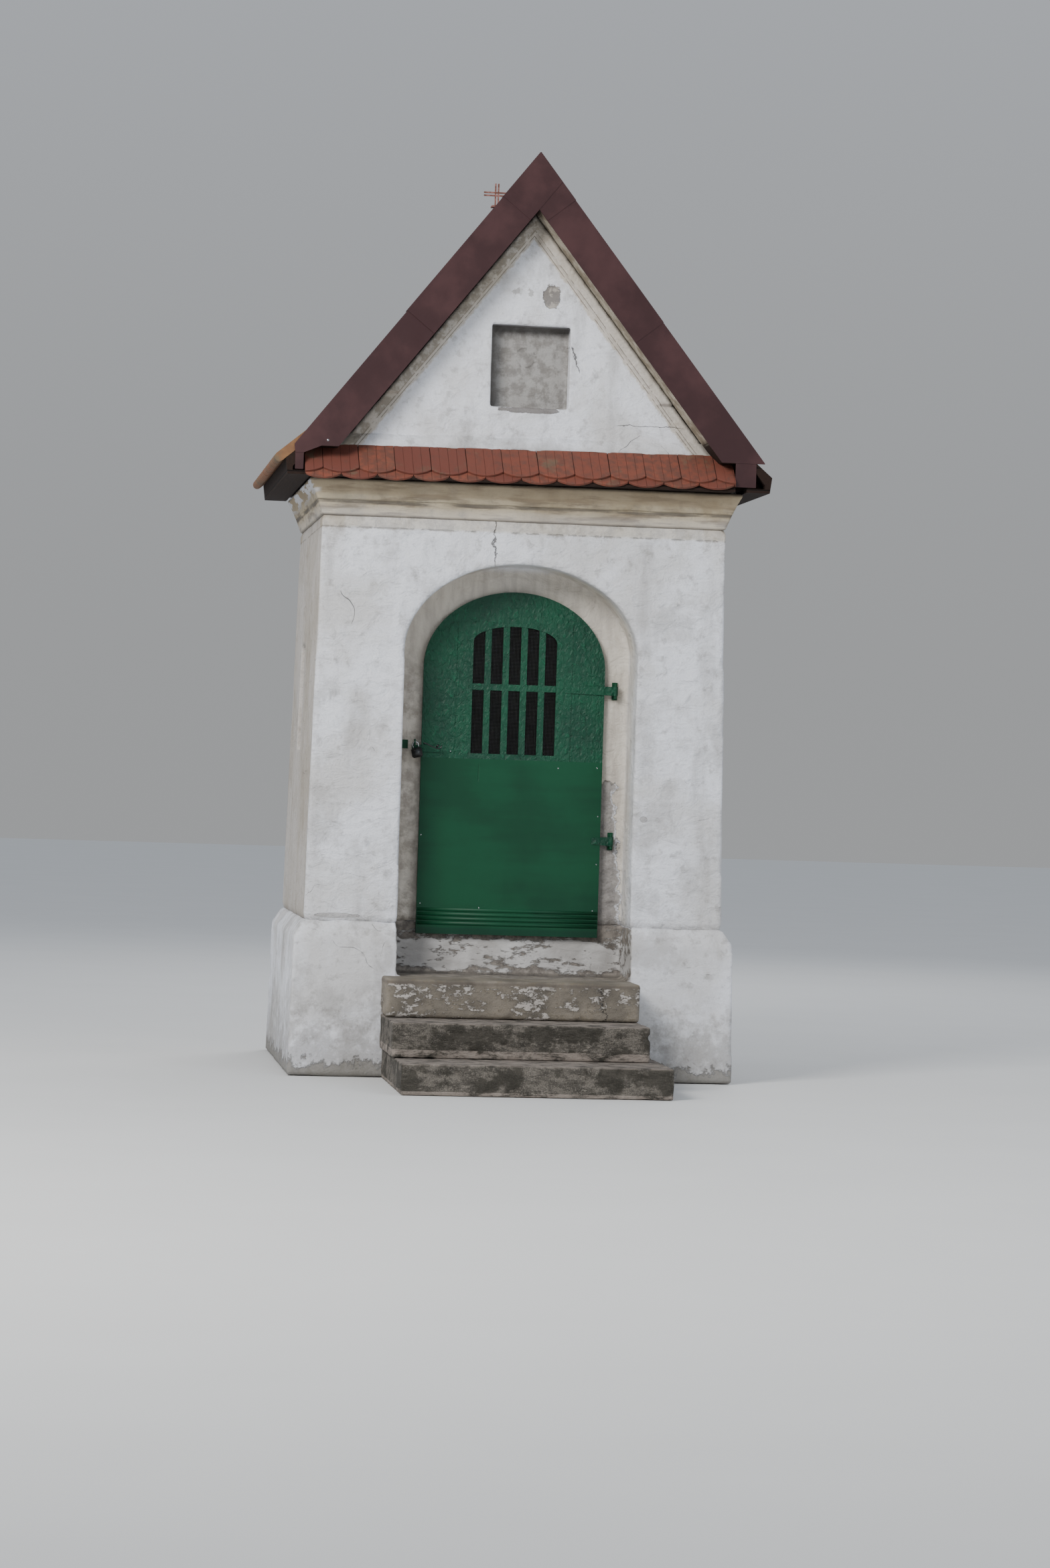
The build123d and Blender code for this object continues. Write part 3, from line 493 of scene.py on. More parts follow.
def cream_plaster():
    """The cornice's warmer, streaked limewash, with painted shade under the tiles and along its grooves."""
    coat = Finish("cream_plaster")
    bare, height, fine = plaster_face(coat, CREAM, CREAM_WORN, 0.3)
    runs = coat.clouds(0.09, 7, 0.62, stretch=(0.3, 0.3, 2.6), shift=6.0)
    coat.stain(runs.fade(0.48, 0.62) * 0.7, paint(112, 99, 83))
    upper = (coat.z + runs * 0.03).fade(cornice_top - 0.075, cornice_top - 0.055)
    coat.stain(upper * 0.5, paint(150, 132, 106))
    # painted shadow under the skirt's tiles along the cornice's top
    coat.stain(coat.z.fade(cornice_top - 0.025, cornice_top - 0.005) * 0.5, DARK_MARK_AND_SHADE)
    # a dark line along the moulding, also bumped in as a groove: painted shade, broken up by the runs
    ledge = abs(coat.z - cornice_foot - 0.076 + (runs - 0.5) * 0.02).fade(0.013, 0.003)
    coat.stain(ledge * runs.fade(0.36, 0.50) * 0.7, DARK_MARK_AND_SHADE)
    white_foot = (coat.z + runs * 0.05).fade(cornice_foot + 0.10, cornice_foot + 0.05)
    coat.stain(white_foot * 0.2, WHITEWASH)
    # painted shade in the crease where the cornice meets the wall
    groove = (coat.z + runs * 0.01).fade(cornice_foot + 0.026, cornice_foot + 0.008)
    coat.stain(groove * 0.8, DARK_MARK_AND_SHADE)
    corner = coat.x.fade(-1.03, -1.06) * coat.z.fade(2.88, 2.94)
    coat.stain(corner * runs.fade(0.48, 0.52) * 0.8, WHITEWASH)
    height = height + runs * 0.5 - ledge * 0.7
    return coat.surface(0.82 + bare * 0.1, height, 0.008)


def plinth_plaster():
    """The plinth's whitewash, bare along its foot, worn by rain and feet under the door, and darkened there with
    painted shadow.
    """
    coat = Finish("plinth_plaster")
    x, y, z = coat.x, coat.y, coat.z
    bare, height, fine = plaster_face(coat, WHITEWASH, WHITEWASH_WORN, 0.35)
    ragged = coat.clouds(0.06, 8, 0.7, shift=8.0)
    ledge = (z + ragged * 0.04).fade(plinth_top - 0.07, plinth_top - 0.045)
    coat.stain(ledge * ragged.fade(0.46, 0.66) * 0.45, GRIME)
    splash = (z * 0.9 + ragged).fade(0.86, 0.60)
    coat.stain(splash * 0.45, GRIME)
    foot = (z + ragged * 0.30).fade(0.235, 0.20)
    coat.stain(foot * 0.8, fine.mix(RENDER_GREY, paint(104, 100, 88)))
    flakes = coat.clouds(0.07, 9, 0.70, stretch=(0.6, 1, 1.5), shift=1.0)
    broad = coat.clouds(0.25, 3, shift=7.0)
    edges = z.fade(0.67, 0.70) + z.fade(0.56, 0.52)
    lost = (flakes + broad * 0.3 - edges * 0.12).fade(0.62, 0.54)
    stone = ragged.fade(0.4, 0.6).mix(paint(138, 131, 123), paint(98, 92, 86))
    worn = lost.mix(broad.fade(0.4, 0.6).mix(paint(192, 190, 188), paint(166, 163, 160)), stone)
    level = z.fade(0.525, 0.512)
    worn = (level * 0.8).mix(worn, ragged.fade(0.4, 0.6).mix(paint(142, 134, 122), paint(104, 97, 88)))
    # painted shadow on the sill under and behind the door
    door_sill_shadow = level * y.fade(-0.60, -0.54)
    worn = (door_sill_shadow * 0.7).mix(worn, DARK_MARK_AND_SHADE)
    inside = abs(x).fade(RECESS_HALF, RECESS_HALF - 0.008) * y.fade(-0.870, -0.860) * y.fade(-0.30, -0.34)
    coat.stain(inside, worn)
    height = height - foot * 0.5 - inside * lost * 0.4 + inside * flakes * 0.5
    return coat.surface(0.82 + bare * 0.1, height, 0.008)


def rendered_step():
    """The top step's worn cement, speckled with what is left of its whitewash."""
    coat = Finish("rendered_step")
    flakes = coat.clouds(0.035, 9, 0.75, stretch=(0.7, 1, 1.2), shift=2.0)
    broad = coat.clouds(0.25, 5)
    fine = coat.clouds(0.008, 3)
    grit = coat.clouds(0.003, 2, shift=1.0)
    face = coat.z.fade(0.492, 0.478)
    held = (flakes + broad * 0.6).fade(0.83, 0.88) * face
    stone = broad.fade(0.35, 0.65).mix(paint(134, 126, 114), paint(92, 86, 77))
    stone = (flakes.fade(0.45, 0.65) * 0.5).mix(stone, paint(112, 100, 76))
    stone = (grit.fade(0.45, 0.7) * 0.4).mix(stone, paint(66, 62, 56))
    stone = (coat.z.fade(0.478, 0.492) * coat.z.fade(0.506, 0.496) * 0.5).mix(stone, paint(78, 70, 64))
    coat.colour = (held * 0.75).mix(stone, fine.mix(paint(204, 200, 196), paint(172, 163, 154)))
    split = abs(coat.x - 0.40 + (flakes - 0.5) * 0.16 + (coat.z - 0.42) * 0.25)
    crack = split.fade(0.004, 0.001) * face
    coat.stain(crack, DARK_MARK_AND_SHADE)
    height = held * 0.3 + fine * 0.25 + grit * 0.1 + flakes * 0.6 - crack
    return coat.surface(0.88, height, 0.008)


def granite():
    """Grey granite, split rather than sawn, dark with damp and lichen, its arrises worn pale."""
    coat = Finish("granite")
    grain = coat.clouds(0.006, 3, 0.7)
    broad = coat.clouds(0.16, 7, 0.66, shift=8.0)
    hewn = coat.clouds(0.06, 8, 0.70, stretch=(0.6, 1, 1.5), shift=5.0)
    coat.colour = hewn.fade(0.40, 0.60).mix(paint(108, 102, 94), paint(62, 58, 52))
    coat.stain(grain.fade(0.52, 0.72) * 0.6, paint(152, 146, 134))
    coat.stain(grain.fade(0.48, 0.34) * 0.6, paint(38, 35, 32))
    coat.stain(broad.fade(0.48, 0.56) * 0.75, paint(44, 41, 33))
    pale = hewn.fade(0.56, 0.66) * broad.fade(0.50, 0.42)
    coat.stain(pale * 0.6, paint(160, 152, 140))
    arris = ((coat.z - 0.02) % STEP_COURSE).fade(0.118, 0.134)
    coat.stain(arris * hewn.fade(0.62, 0.44) * 0.6, paint(164, 152, 142))
    return coat.surface(0.8 + grain * 0.15, hewn * 1.1 + grain * 0.12, 0.018)


def fired_clay(name, shades, lichen):
    """Fired clay tiles: each has its own tone, with streaks down the slope and lichen."""
    coat = Finish(name)
    tone = coat.attribute("tone")
    mottle = coat.clouds(0.035, 6, 0.6)
    fine = coat.clouds(0.004, 2)
    coat.colour = tone.mix(shades[0], shades[1])
    coat.stain((mottle + tone * 0.2).fade(0.5, 0.8) * 0.7, shades[2])
    across = coat.wire("ShaderNodeSeparateXYZ", (), {0: coat.attribute("tile", "Vector")})
    line = abs((across * 4.0) % 1.0 - 0.5).fade(0.47, 0.5)
    coat.stain(line * 0.5, paint(92, 48, 36))
    old = coat.clouds(0.16, 7, 0.65, shift=3.0)
    grown = old.fade(0.62 - lichen * 0.22, 0.74 - lichen * 0.18)
    coat.stain(grown * 0.7, paint(88, 80, 62))
    return coat.surface(0.72 + fine * 0.15, mottle * 0.4 + fine * 0.2 - line * 0.6, 0.002)


def coated_sheet():
    """Brown coated steel sheet: satin, faintly rippled, dusty in places."""
    coat = Finish("coated_sheet")
    dust = coat.clouds(0.25, 6, 0.6)
    fine = coat.clouds(0.01, 3)
    ripple = coat.clouds(0.16, 1, shift=4.0)
    coat.colour = dust.fade(0.4, 0.7).mix(paint(48, 22, 24), paint(64, 36, 37))
    return coat.surface(0.42 + dust * 0.22 + fine * 0.05, ripple + fine * 0.02, 0.004, Specular_IOR_Level=0.35)


def dark_boards():
    """Old roof boards, nearly black, with grain along the roof."""
    coat = Finish("dark_boards")
    grain = coat.clouds(0.014, 5, stretch=(1, 0.04, 1))
    joint = abs((coat.z * 9.0) % 1.0 - 0.5).fade(0.46, 0.5)
    coat.colour = grain.mix(paint(26, 17, 13), paint(46, 32, 26))
    coat.stain(joint, paint(10, 7, 6))
    limed = coat.x.fade(0.0, 0.03) * coat.y.fade(SOFFIT_FRONT + 0.004, SOFFIT_FRONT - 0.004) * coat.z.fade(3.21, 3.25)
    blotch = coat.clouds(0.08, 7, 0.66)
    coat.stain(limed, blotch.fade(0.38, 0.6).mix(paint(176, 168, 152), paint(128, 118, 102)))
    relief = (grain * 0.5 - joint) * (1.0 - limed) + blotch * limed
    return coat.surface(0.8 + grain * 0.1, relief, 0.003, Specular_IOR_Level=0.2)


GREEN = paint(1, 57, 35)
# the lighter green is painted highlight on the door's daubs
GREEN_HIGHLIGHT = paint(16, 104, 70)


def daubed_green():
    """Thick green paint over a daubed, hammered ground, as on the upper half of the door, with painted highlight on
    the daubs and painted shade between them.
    """
    coat = Finish("daubed_green")
    daub = coat.clouds(0.020, 4, 0.55, stretch=(1, 1, 0.7), twist=0.7)
    broad = coat.clouds(0.3, 4)
    coat.colour = broad.fade(0.35, 0.7).mix(paint(2, 56, 39), paint(4, 70, 47))
    # painted highlight on the daubs' peaks and painted shade in their hollows, by the same noise as the bump
    coat.stain(daub.fade(0.56, 0.72) * 0.35, GREEN_HIGHLIGHT)
    coat.stain(daub.fade(0.42, 0.30) * 0.4, paint(1, 34, 24))
    return coat.surface(0.40 + broad * 0.16, daub, 0.012, Specular_IOR_Level=0.35)


def smooth_green():
    """Rolled green paint on flat sheet."""
    coat = Finish("smooth_green")
    broad = coat.clouds(0.5, 4, 0.55)
    peel = coat.clouds(0.006, 2)
    dent = coat.clouds(0.30, 1, shift=3.0)
    streak = coat.clouds(0.05, 4, stretch=(0.12, 1, 1))
    coat.colour = (broad + streak * 0.3).fade(0.50, 0.80).mix(GREEN, paint(2, 68, 42))
    coat.stain(coat.z.fade(0.75, 0.735) * 0.5, paint(2, 40, 28))
    dented = abs(coat.x - DENT_PLACE[0]).fade(0.004, 0.0) * abs(coat.z - DENT_PLACE[1]).fade(0.05, 0.03)
    height = peel * 0.05 + dent - dented * 0.5
    return coat.surface(0.38 + broad * 0.2, height, 0.004, Specular_IOR_Level=0.3)


def wire_cloth():
    """Fine black wire cloth: square holes between thin wires."""
    coat = Finish("wire_cloth")
    across, up = (abs((place * WIRES_PER_METRE) % 1.0 - 0.5) for place in (coat.x, coat.z))
    wires = across.most(up).fade(0.34, 0.40)
    rust = coat.clouds(0.05, 4)
    coat.colour = rust.mix(paint(12, 15, 15), paint(30, 28, 26))
    return coat.surface(0.7, wires, 0.001, Alpha=wires, Specular_IOR_Level=0.2)


def lock_black():
    """Worn black enamel on a padlock's body."""
    coat = Finish("lock_black")
    wear = coat.clouds(0.012, 5)
    coat.colour = (wear.fade(0.6, 0.7) * 0.5).mix(paint(16, 17, 20), paint(90, 86, 80))
    return coat.surface(0.3 + wear * 0.2, wear, 0.0004, Coat_Weight=0.4)


def bright_steel():
    """Chromed steel with fine scratches."""
    coat = Finish("bright_steel")
    scratch = coat.clouds(0.003, 3, stretch=(1, 1, 0.2))
    coat.colour = scratch.mix(paint(196, 198, 200), paint(150, 150, 152))
    return coat.surface(0.16 + scratch * 0.15, scratch, 0.0002, Metallic=1.0)


def rusty_red():
    """Flaking red-brown paint with rust on the ridge cross."""
    coat = Finish("rusty_red")
    flake = coat.clouds(0.02, 6, 0.65)
    coat.colour = flake.fade(0.42, 0.6).mix(paint(140, 96, 88), paint(96, 58, 44))
    return coat.surface(0.75 + flake * 0.15, flake, 0.001)


def inner_stone(name, light, dark):
    """Plain floor stone or rubble inside the shrine."""
    coat = Finish(name)
    broad = coat.clouds(0.15, 6)
    coat.colour = broad.mix(light, dark)
    return coat.surface(0.85 + broad * 0.1, broad, 0.004)


WHITE = white_plaster()
GABLE_WHITE = gable_plaster()
CREAM_COAT = cream_plaster()
PLINTH_COAT = plinth_plaster()
STEP_RENDER = rendered_step()
GRANITE = granite()
ROOF_CLAY = fired_clay("roof_clay", (paint(122, 70, 52), paint(142, 82, 60), paint(96, 60, 48)), 0.9)
SKIRT_CLAY = fired_clay("skirt_clay", (paint(98, 50, 38), paint(122, 64, 46), paint(78, 52, 42)), 0.3)
EAVE_CLAY = fired_clay("eave_clay", (paint(140, 98, 62), paint(150, 116, 70), paint(118, 90, 58)), 0.5)
SHEET = coated_sheet()
BOARDS = dark_boards()
DAUBED = daubed_green()
SMOOTH = smooth_green()
CLOTH = wire_cloth()
LOCK = lock_black()
STEEL = bright_steel()
CROSS = rusty_red()

# Masonry pieces
WALL_FOOT = 0.012
wall_nodes = ("front_piers", "recess_arch", "doorway_arch", "left_wall", "right_wall", "back_wall")
walls = weathered(wall_nodes, cell=0.018, swell=0.005, swell_size=0.35)
for vertex in walls.vertices:
    if vertex.co.z < plinth_top + WALL_FOOT:
        vertex.co.z -= WALL_FOOT  # the walls' rounded foot sinks into the plinth
    elif vertex.co.z > cornice_foot - WALL_FOOT:
        vertex.co.z += WALL_FOOT  # and their head into the cornice
piece("wall_plaster", walls, WHITE, replaced=wall_nodes)


def masonry(name, nodes, material, slot, **wear):
    """A weathered piece in the place of some CAD nodes."""
    piece(name, weathered(nodes, **wear), material, replaced=nodes)


masonry("cornice_plaster", ("cornice_front", "cornice_left", "cornice_right", "cornice_back"), CREAM_COAT,
        "plaster_cream", cell=0.012, swell=0.004, swell_size=0.12)
masonry("plinth_plaster", ("plinth_front", "plinth_sides", "plinth_back", "recess_sill", "door_riser"),
        PLINTH_COAT, "plinth_render", cell=0.017, swell=0.006, swell_size=0.2, chip=0.02, chip_size=0.12)
masonry("gable_front", ("front_gable",), GABLE_WHITE, "plaster_white", cell=0.011, swell=0.004, swell_size=0.15)
masonry("top_step", ("step_top",), STEP_RENDER, "step_render", cell=0.012, swell=0.006, swell_size=0.12,
        chip=0.03, chip_size=0.07, upright=0.2)
for block in ("step_middle", "step_bottom"):
    masonry(f"{block}_stone", (block,), GRANITE, "granite", cell=0.012, swell=0.009, swell_size=0.11,
            chip=0.035, chip_size=0.06, upright=0.2)
dress(GABLE_WHITE, "back_gable")
dress(inner_stone("floor_flags", paint(112, 106, 98), paint(78, 74, 70)), "floor_slab")
dress(inner_stone("rubble_fill", paint(104, 96, 86), paint(70, 64, 58)), "base_fill")
dress(BOARDS, "eave_boards", "skirt_bed")
dress(SHEET, "verge_front_left", "verge_front_right", "verge_back", "ridge_cap")
dress(CROSS, "ridge_cross")

# Tiles
TILE_WIDTH = 0.184
TILE_PITCH = 0.186
TILE_THICKNESS = 0.014
TILE_BELLY = 0.032  # how far the rounded tail dips
TILE_GAUGE = 0.15
TILE_LAP = 0.03
TILE_STEP = 0.014
TILE_SINK = 0.005  # tiles' tops under the verge's top line
CROWN_GAP = 0.012  # tiles stop this far from the ridge's middle
INSET = 0.001  # and this far inside the roof's ends
TAIL_BACK = 0.012  # lowest tails, up the slope from where the eave course starts
DECK_CUT = 0.145  # the front overhang's lowest corner, over the cornice
COURSES = 12


def tile_mesh(rings, place):
    """A tile over rings of points; place gives what the clay's score lines go by at a point."""
    shape = bmesh.new()
    across = shape.loops.layers.uv.new("tile")
    skin(shape, rings)
    for face in shape.faces:
        for loop in face.loops:
            loop[across].uv = place(loop.vert.co)
    return mesh_of(shape)


def tile_shape(width, length, thickness, drop, scores=()):
    """One clay tile, tail at y = 0: its top face falls by drop from tail to head, scored lengthwise."""
    radius = (width * width / 4 + TILE_BELLY * TILE_BELLY) / (2 * TILE_BELLY)
    stations = [(share / 8 - 0.5) * width for share in range(9)]
    groove, depth, edge = 0.0012, 0.0014, 0.002
    for score in scores:
        stations.extend((score - groove, score, score + groove))
    rows = []
    for x in sorted(stations):
        tail = radius - sqrt(radius * radius - x * x)
        dip = depth if x in scores else 0.0
        outline = ((tail, 0.0), (tail, thickness - edge), (tail + edge, thickness - dip),
                   (length, thickness - dip), (length, 0.0))
        rows.append([(x, y, z - drop * y / length) for y, z in outline])
    return tile_mesh(rows, lambda point: (point.x / width + 0.5, point.y))


def tile_courses():
    """Rows of tiles up a slope: x across, y up, every other row moved by half a tile."""
    inputs = {"Rows": 2, "Columns": 2, "Pitch": 0.1, "Gauge": 0.1, "Looseness": 0.0, "Seed": 1}
    pattern = Pattern("tile_courses", inputs)
    columns = pattern.given("Columns")
    index = pattern.wire("GeometryNodeInputIndex")
    row = ((index + 0.5) / columns).floor()
    column = index - row * columns + (row % 2.0) * 0.5
    across, up = column * pattern.given("Pitch"), row * pattern.given("Gauge")
    spot = pattern.wire("ShaderNodeCombineXYZ", (), {"X": across, "Y": up})
    points = pattern.wire("GeometryNodePoints", (), {"Count": pattern.given("Rows") * columns, "Position": spot})
    loose = pattern.given("Looseness")
    spread = pattern.wire("ShaderNodeCombineXYZ", (), {"X": loose, "Y": loose * 0.5, "Z": loose})
    back = pattern.wire("ShaderNodeVectorMath", {"operation": "SCALE"}, {0: spread, "Scale": -1.0})
    seed = pattern.given("Seed")
    turn = pattern.wire("FunctionNodeRandomValue", {"data_type": "FLOAT_VECTOR"}, {0: back, 1: spread, "Seed": seed})
    placed = pattern.wire("GeometryNodeInstanceOnPoints", (), {
        "Points": points, "Instance": pattern.given("Shape"), "Rotation": turn})
    tone = pattern.wire("FunctionNodeRandomValue", {"data_type": "FLOAT"}, {"Seed": seed + 5.0}, output=1)
    pattern.close(pattern.wire("GeometryNodeStoreNamedAttribute", {"data_type": "FLOAT", "domain": "INSTANCE"}, {
        "Geometry": placed, "Name": "tone", "Value": tone}))
    return pattern


def screw_heads():
    """A domed head at each vertex of the shape, facing the front."""
    pattern = Pattern("screw_heads", {"Radius": 0.004, "Stand": 0.4})
    ball = {"Segments": 12, "Rings": 6, "Radius": pattern.given("Radius")}
    flat = pattern.wire("ShaderNodeCombineXYZ", (), {"X": 1.0, "Y": pattern.given("Stand"), "Z": 1.0})
    pattern.close(pattern.wire("GeometryNodeInstanceOnPoints", (), {
        "Points": pattern.given("Shape"), "Instance": pattern.wire("GeometryNodeMeshUVSphere", (), ball),
        "Scale": flat}))
    return pattern


TILED = tile_courses()
SCREWS = screw_heads()


def on_slope(side, down, out, y):
    """A point by its way down a slope from the ridge and its height over the verge's top line."""
    return Vector((side * (down * cos(slope) + out * sin(slope)), y,
                   ridge_z - down * sin(slope) + out * cos(slope)))


def set_at(place, across, up, out):
    """The matrix that sets x, y and z along three directions at a place."""
    return Matrix.Translation(place) @ Matrix((across, up, out)).transposed().to_4x4()


def laid(side, steep, tail):
    """Places x across, y up and z out on a left (-1) or right (1) slope, from a tail's middle."""
    up = Vector((-side * cos(steep), 0, sin(steep)))
    out = Vector((side * sin(steep), 0, cos(steep)))
    return set_at(tail, up.cross(out), up, out)


def cut(axis, place, way):
    """A cutting plane across axis 0, 1 or 2, with the way (-1 or 1) that it clears."""
    unit = Vector([float(number == axis) for number in range(3)])
    return unit * place, unit * way


def trimmed(mesh, planes):
    """Cut off what lies beyond planes, each given as a point and an outward direction."""
    shape = bmesh.new()
    shape.from_mesh(mesh)
    for point, outward in planes:
        everything = [*shape.verts, *shape.edges, *shape.faces]
        done = bmesh.ops.bisect_plane(shape, geom=everything, plane_co=point, plane_no=outward, clear_outer=True)
        rims = [item for item in done["geom_cut"] if isinstance(item, bmesh.types.BMEdge)]
        bmesh.ops.holes_fill(shape, edges=rims)
    shape.to_mesh(mesh)
    shape.free()
    return mesh


kick_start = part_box("tiles_right")[1].x
verge_ends = (cut(1, roof_front + INSET, -1), cut(1, roof_back - INSET, 1))
roof_tile = tile_shape(TILE_WIDTH, TILE_GAUGE + TILE_LAP, TILE_THICKNESS, TILE_STEP * 1.2)


def deck(name):
    """A roof deck whose front overhang stops above the skirt's tiles."""
    whole = bmesh.new()
    whole.from_mesh(trimmed(merged(name), (cut(1, gable_face, -1),)))
    whole.from_mesh(trimmed(merged(name), (cut(1, gable_face, 1), cut(2, cornice_top + DECK_CUT, -1))))
    return mesh_of(whole)


for label in ("left", "right"):
    piece(f"deck_{label}", deck(f"roof_deck_{label}"), BOARDS, smooth=False,
          replaced=(f"roof_deck_{label}",))
columns = int((roof_back - roof_front) / TILE_PITCH) + 2
for side, label in ((-1, "left"), (1, "right")):
    field = TILED.grow(roof_tile, ROOF_CLAY, Rows=COURSES, Columns=columns, Pitch=TILE_PITCH, Gauge=TILE_GAUGE,
                       Looseness=0.006, Seed=4 + side)
    start_y = -side * (columns * TILE_PITCH / 2)
    tail = kick_start / cos(slope) - TAIL_BACK
    field.transform(laid(side, slope, on_slope(side, tail, -TILE_SINK - TILE_THICKNESS, start_y)))
    trimmed(field, (*verge_ends, cut(0, side * CROWN_GAP, -side)))
    piece(f"tiling_{label}", field, ROOF_CLAY, smooth=False, replaced=(f"tiles_{label}",))

# Eave course: a row of thick, round-nosed tiles tipped up over the boards
KICK_THICKNESS = 0.046
KICK_FALL = 0.156  # from the course's head to its tip, by the frame's profile
KICK_REACH = 0.185
KICK_LENGTH = 0.265
KICK_NOSE = 0.010  # how far the noses pass the frame's tip
KICK_SINK = 0.002
LOST_LENGTH = 0.54  # tiles missing at the right eave's front end
kick_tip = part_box("eave_tiles")[1]
kick_angle = atan(KICK_FALL / KICK_REACH)


def nosed_tile(width, length, thickness):
    """A thick tile whose tail at y = 0 is rounded over."""
    radius = thickness / 2
    outline = [(length, 0.0), (length, thickness)]
    for step in range(9):
        angle = radians(90 + 22.5 * step)
        outline.append((radius + radius * cos(angle), radius + radius * sin(angle)))
    return tile_mesh([[(x, y, z) for y, z in outline] for x in (-width / 2, width / 2)], lambda point: (0.5, 0.5))


eave_tile = nosed_tile(TILE_WIDTH, KICK_LENGTH, KICK_THICKNESS)
eave_rows = bmesh.new()
for side, lost in ((-1, 0.0), (1, LOST_LENGTH)):
    field = TILED.grow(eave_tile, EAVE_CLAY, Rows=1, Columns=columns, Pitch=TILE_PITCH, Looseness=0.008,
                       Seed=9 + side)
    foot = Vector((side * kick_tip.x, -side * columns * TILE_PITCH / 2, kick_tip.z - KICK_FALL))
    field.transform(laid(side, kick_angle, foot) @ Matrix.Translation((0, -KICK_NOSE, -KICK_THICKNESS - KICK_SINK)))
    eave_rows.from_mesh(trimmed(field, (cut(1, roof_front + INSET + lost, -1), verge_ends[1])))
piece("eave_tiling", plain(eave_rows), EAVE_CLAY, smooth=False, replaced=("eave_tiles",))

# Skirt across the gable's foot: two courses of tiles with rounded tails
SKIRT_PITCH = 0.18
SKIRT_THICKNESS = 0.012
SKIRT_SHOWN = 0.008  # where the upper course's tails lie, up from the bed's foot
SKIRT_OVERHANG = 0.026
SKIRT_LEAN = 0.012  # rise per metre to the right
SKIRT_DEPTH = 0.024  # thickness of the frame's layer, measured upright
SKIRT_JOINT = 0.003  # between two tiles
SKIRT_FALL = 0.004  # a tile's head is this much lower than its tail
SKIRT_SCORES = (-0.045, 0.0, 0.045)
skirt_low, skirt_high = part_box("skirt_tiles")
skirt_angle = atan((skirt_high.z - skirt_low.z - SKIRT_DEPTH) / (skirt_high.y - skirt_low.y))
skirt_length = (skirt_high.y - skirt_low.y) / cos(skirt_angle)
skirt_shape = bmesh.new()
for course, (start, lift, shift) in enumerate(((-SKIRT_OVERHANG, 0.0, 0.0), (SKIRT_SHOWN, SKIRT_THICKNESS, -0.5))):
    tile = tile_shape(SKIRT_PITCH - SKIRT_JOINT, skirt_length - start, SKIRT_THICKNESS, SKIRT_FALL, SKIRT_SCORES)
    count = int((skirt_high.x - skirt_low.x) / SKIRT_PITCH) + 2
    field = TILED.grow(tile, SKIRT_CLAY, Rows=1, Columns=count, Pitch=SKIRT_PITCH, Looseness=0.005,
                       Seed=21 + course)
    tilt = Matrix.Rotation(skirt_angle, 4, "X")
    foot = Vector((skirt_low.x + SKIRT_PITCH * (0.5 + shift), skirt_low.y, skirt_low.z))
    field.transform(Matrix.Translation(foot) @ tilt @ Matrix.Translation((0, start, lift)))
    skirt_shape.from_mesh(trimmed(field, (cut(0, skirt_low.x, -1), cut(0, skirt_high.x, 1))))
for vertex in skirt_shape.verts:
    vertex.co.z += SKIRT_LEAN * vertex.co.x
piece("skirt_tiling", plain(skirt_shape), SKIRT_CLAY, smooth=False, replaced=("skirt_tiles",))


APRON_REACH = 0.014
APRON_RAGGED = 0.010  # how far its edge strays from that
APRON_THICKNESS = 0.012


def plaster_apron():
    """The gable's plaster run down over the heads of the skirt's tiles, with a ragged lower edge."""
    steps = 260
    low_x, high_x = skirt_low.x + 0.14, skirt_high.x - 0.05
    lines = []
    for step in range(steps + 1):
        x = low_x + (high_x - low_x) * step / steps
        ragged = noise.fractal(Vector((x * 9, 0, 0)), 1.0, 2.0, 4)
        reach = APRON_REACH + APRON_RAGGED * ragged
        top = 0.05 + 0.01 * noise.noise(Vector((x * 4, 5, 0)))
        edge_y = gable_face - reach
        edge_z = skirt_high.z + 0.006 - reach * tan(skirt_angle)
        outline = ((gable_face + 0.02, skirt_high.z + top), (gable_face - 0.002, skirt_high.z + top),
                   (gable_face - 0.006, skirt_high.z + 0.006), (edge_y, edge_z + 0.001),
                   (edge_y + 0.002, edge_z - APRON_THICKNESS), (gable_face + 0.02, skirt_high.z - 0.02))
        lines.append([(x, y, z + SKIRT_LEAN * x) for y, z in outline])
    shape = bmesh.new()
    skin(shape, lines)
    return mesh_of(shape)


piece("plaster_apron", plaster_apron(), GABLE_WHITE)


# Verge flashings: each side is made of three lengths that overlap
SHEET_LIFT = 0.002
VERGE_JOINTS = (0.29, 1.04)
verge_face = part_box("verge_front_right")[0].y
verge_width = 0.175
verge_lap = 0.065


def verge_length(shape, side, start, end, lift):
    """One length of flashing over the CAD sheet; it starts further down by start per height out."""
    front = verge_face - lift
    profile = ((lift, front), (-verge_width, front), (-verge_width, verge_face + 0.001),
               (-0.001, verge_face + 0.001), (-0.001, verge_face + verge_lap), (lift, verge_face + verge_lap))
    skin(shape, [[on_slope(side, start * out, out, y) for out, y in profile],
                 [on_slope(side, end, out, y) for out, y in profile]])


# The left lengths run on over the ridge to the right slope's edge; the right ones are cut plumb on it
flashing = bmesh.new()
for side, start, extra in ((-1, 1 / tan(2 * slope), SHEET_LIFT), (1, -tan(slope), 0.0)):
    for number, end in enumerate(VERGE_JOINTS):
        verge_length(flashing, side, start, end, SHEET_LIFT * (2 - number) + extra)
piece("verge_lengths", mesh_of(flashing), SHEET, smooth=False)


def screws(name, spots, radius, body="root"):
    """Screw heads at spots on a front face."""
    points = bpy.data.meshes.new(name)
    points.from_pydata(spots, [], [])
    piece(name, SCREWS.grow(points, STEEL, Radius=radius), STEEL, body)


screws("verge_screw", [(-1.02, verge_face - 0.001, 3.158)], 0.006)

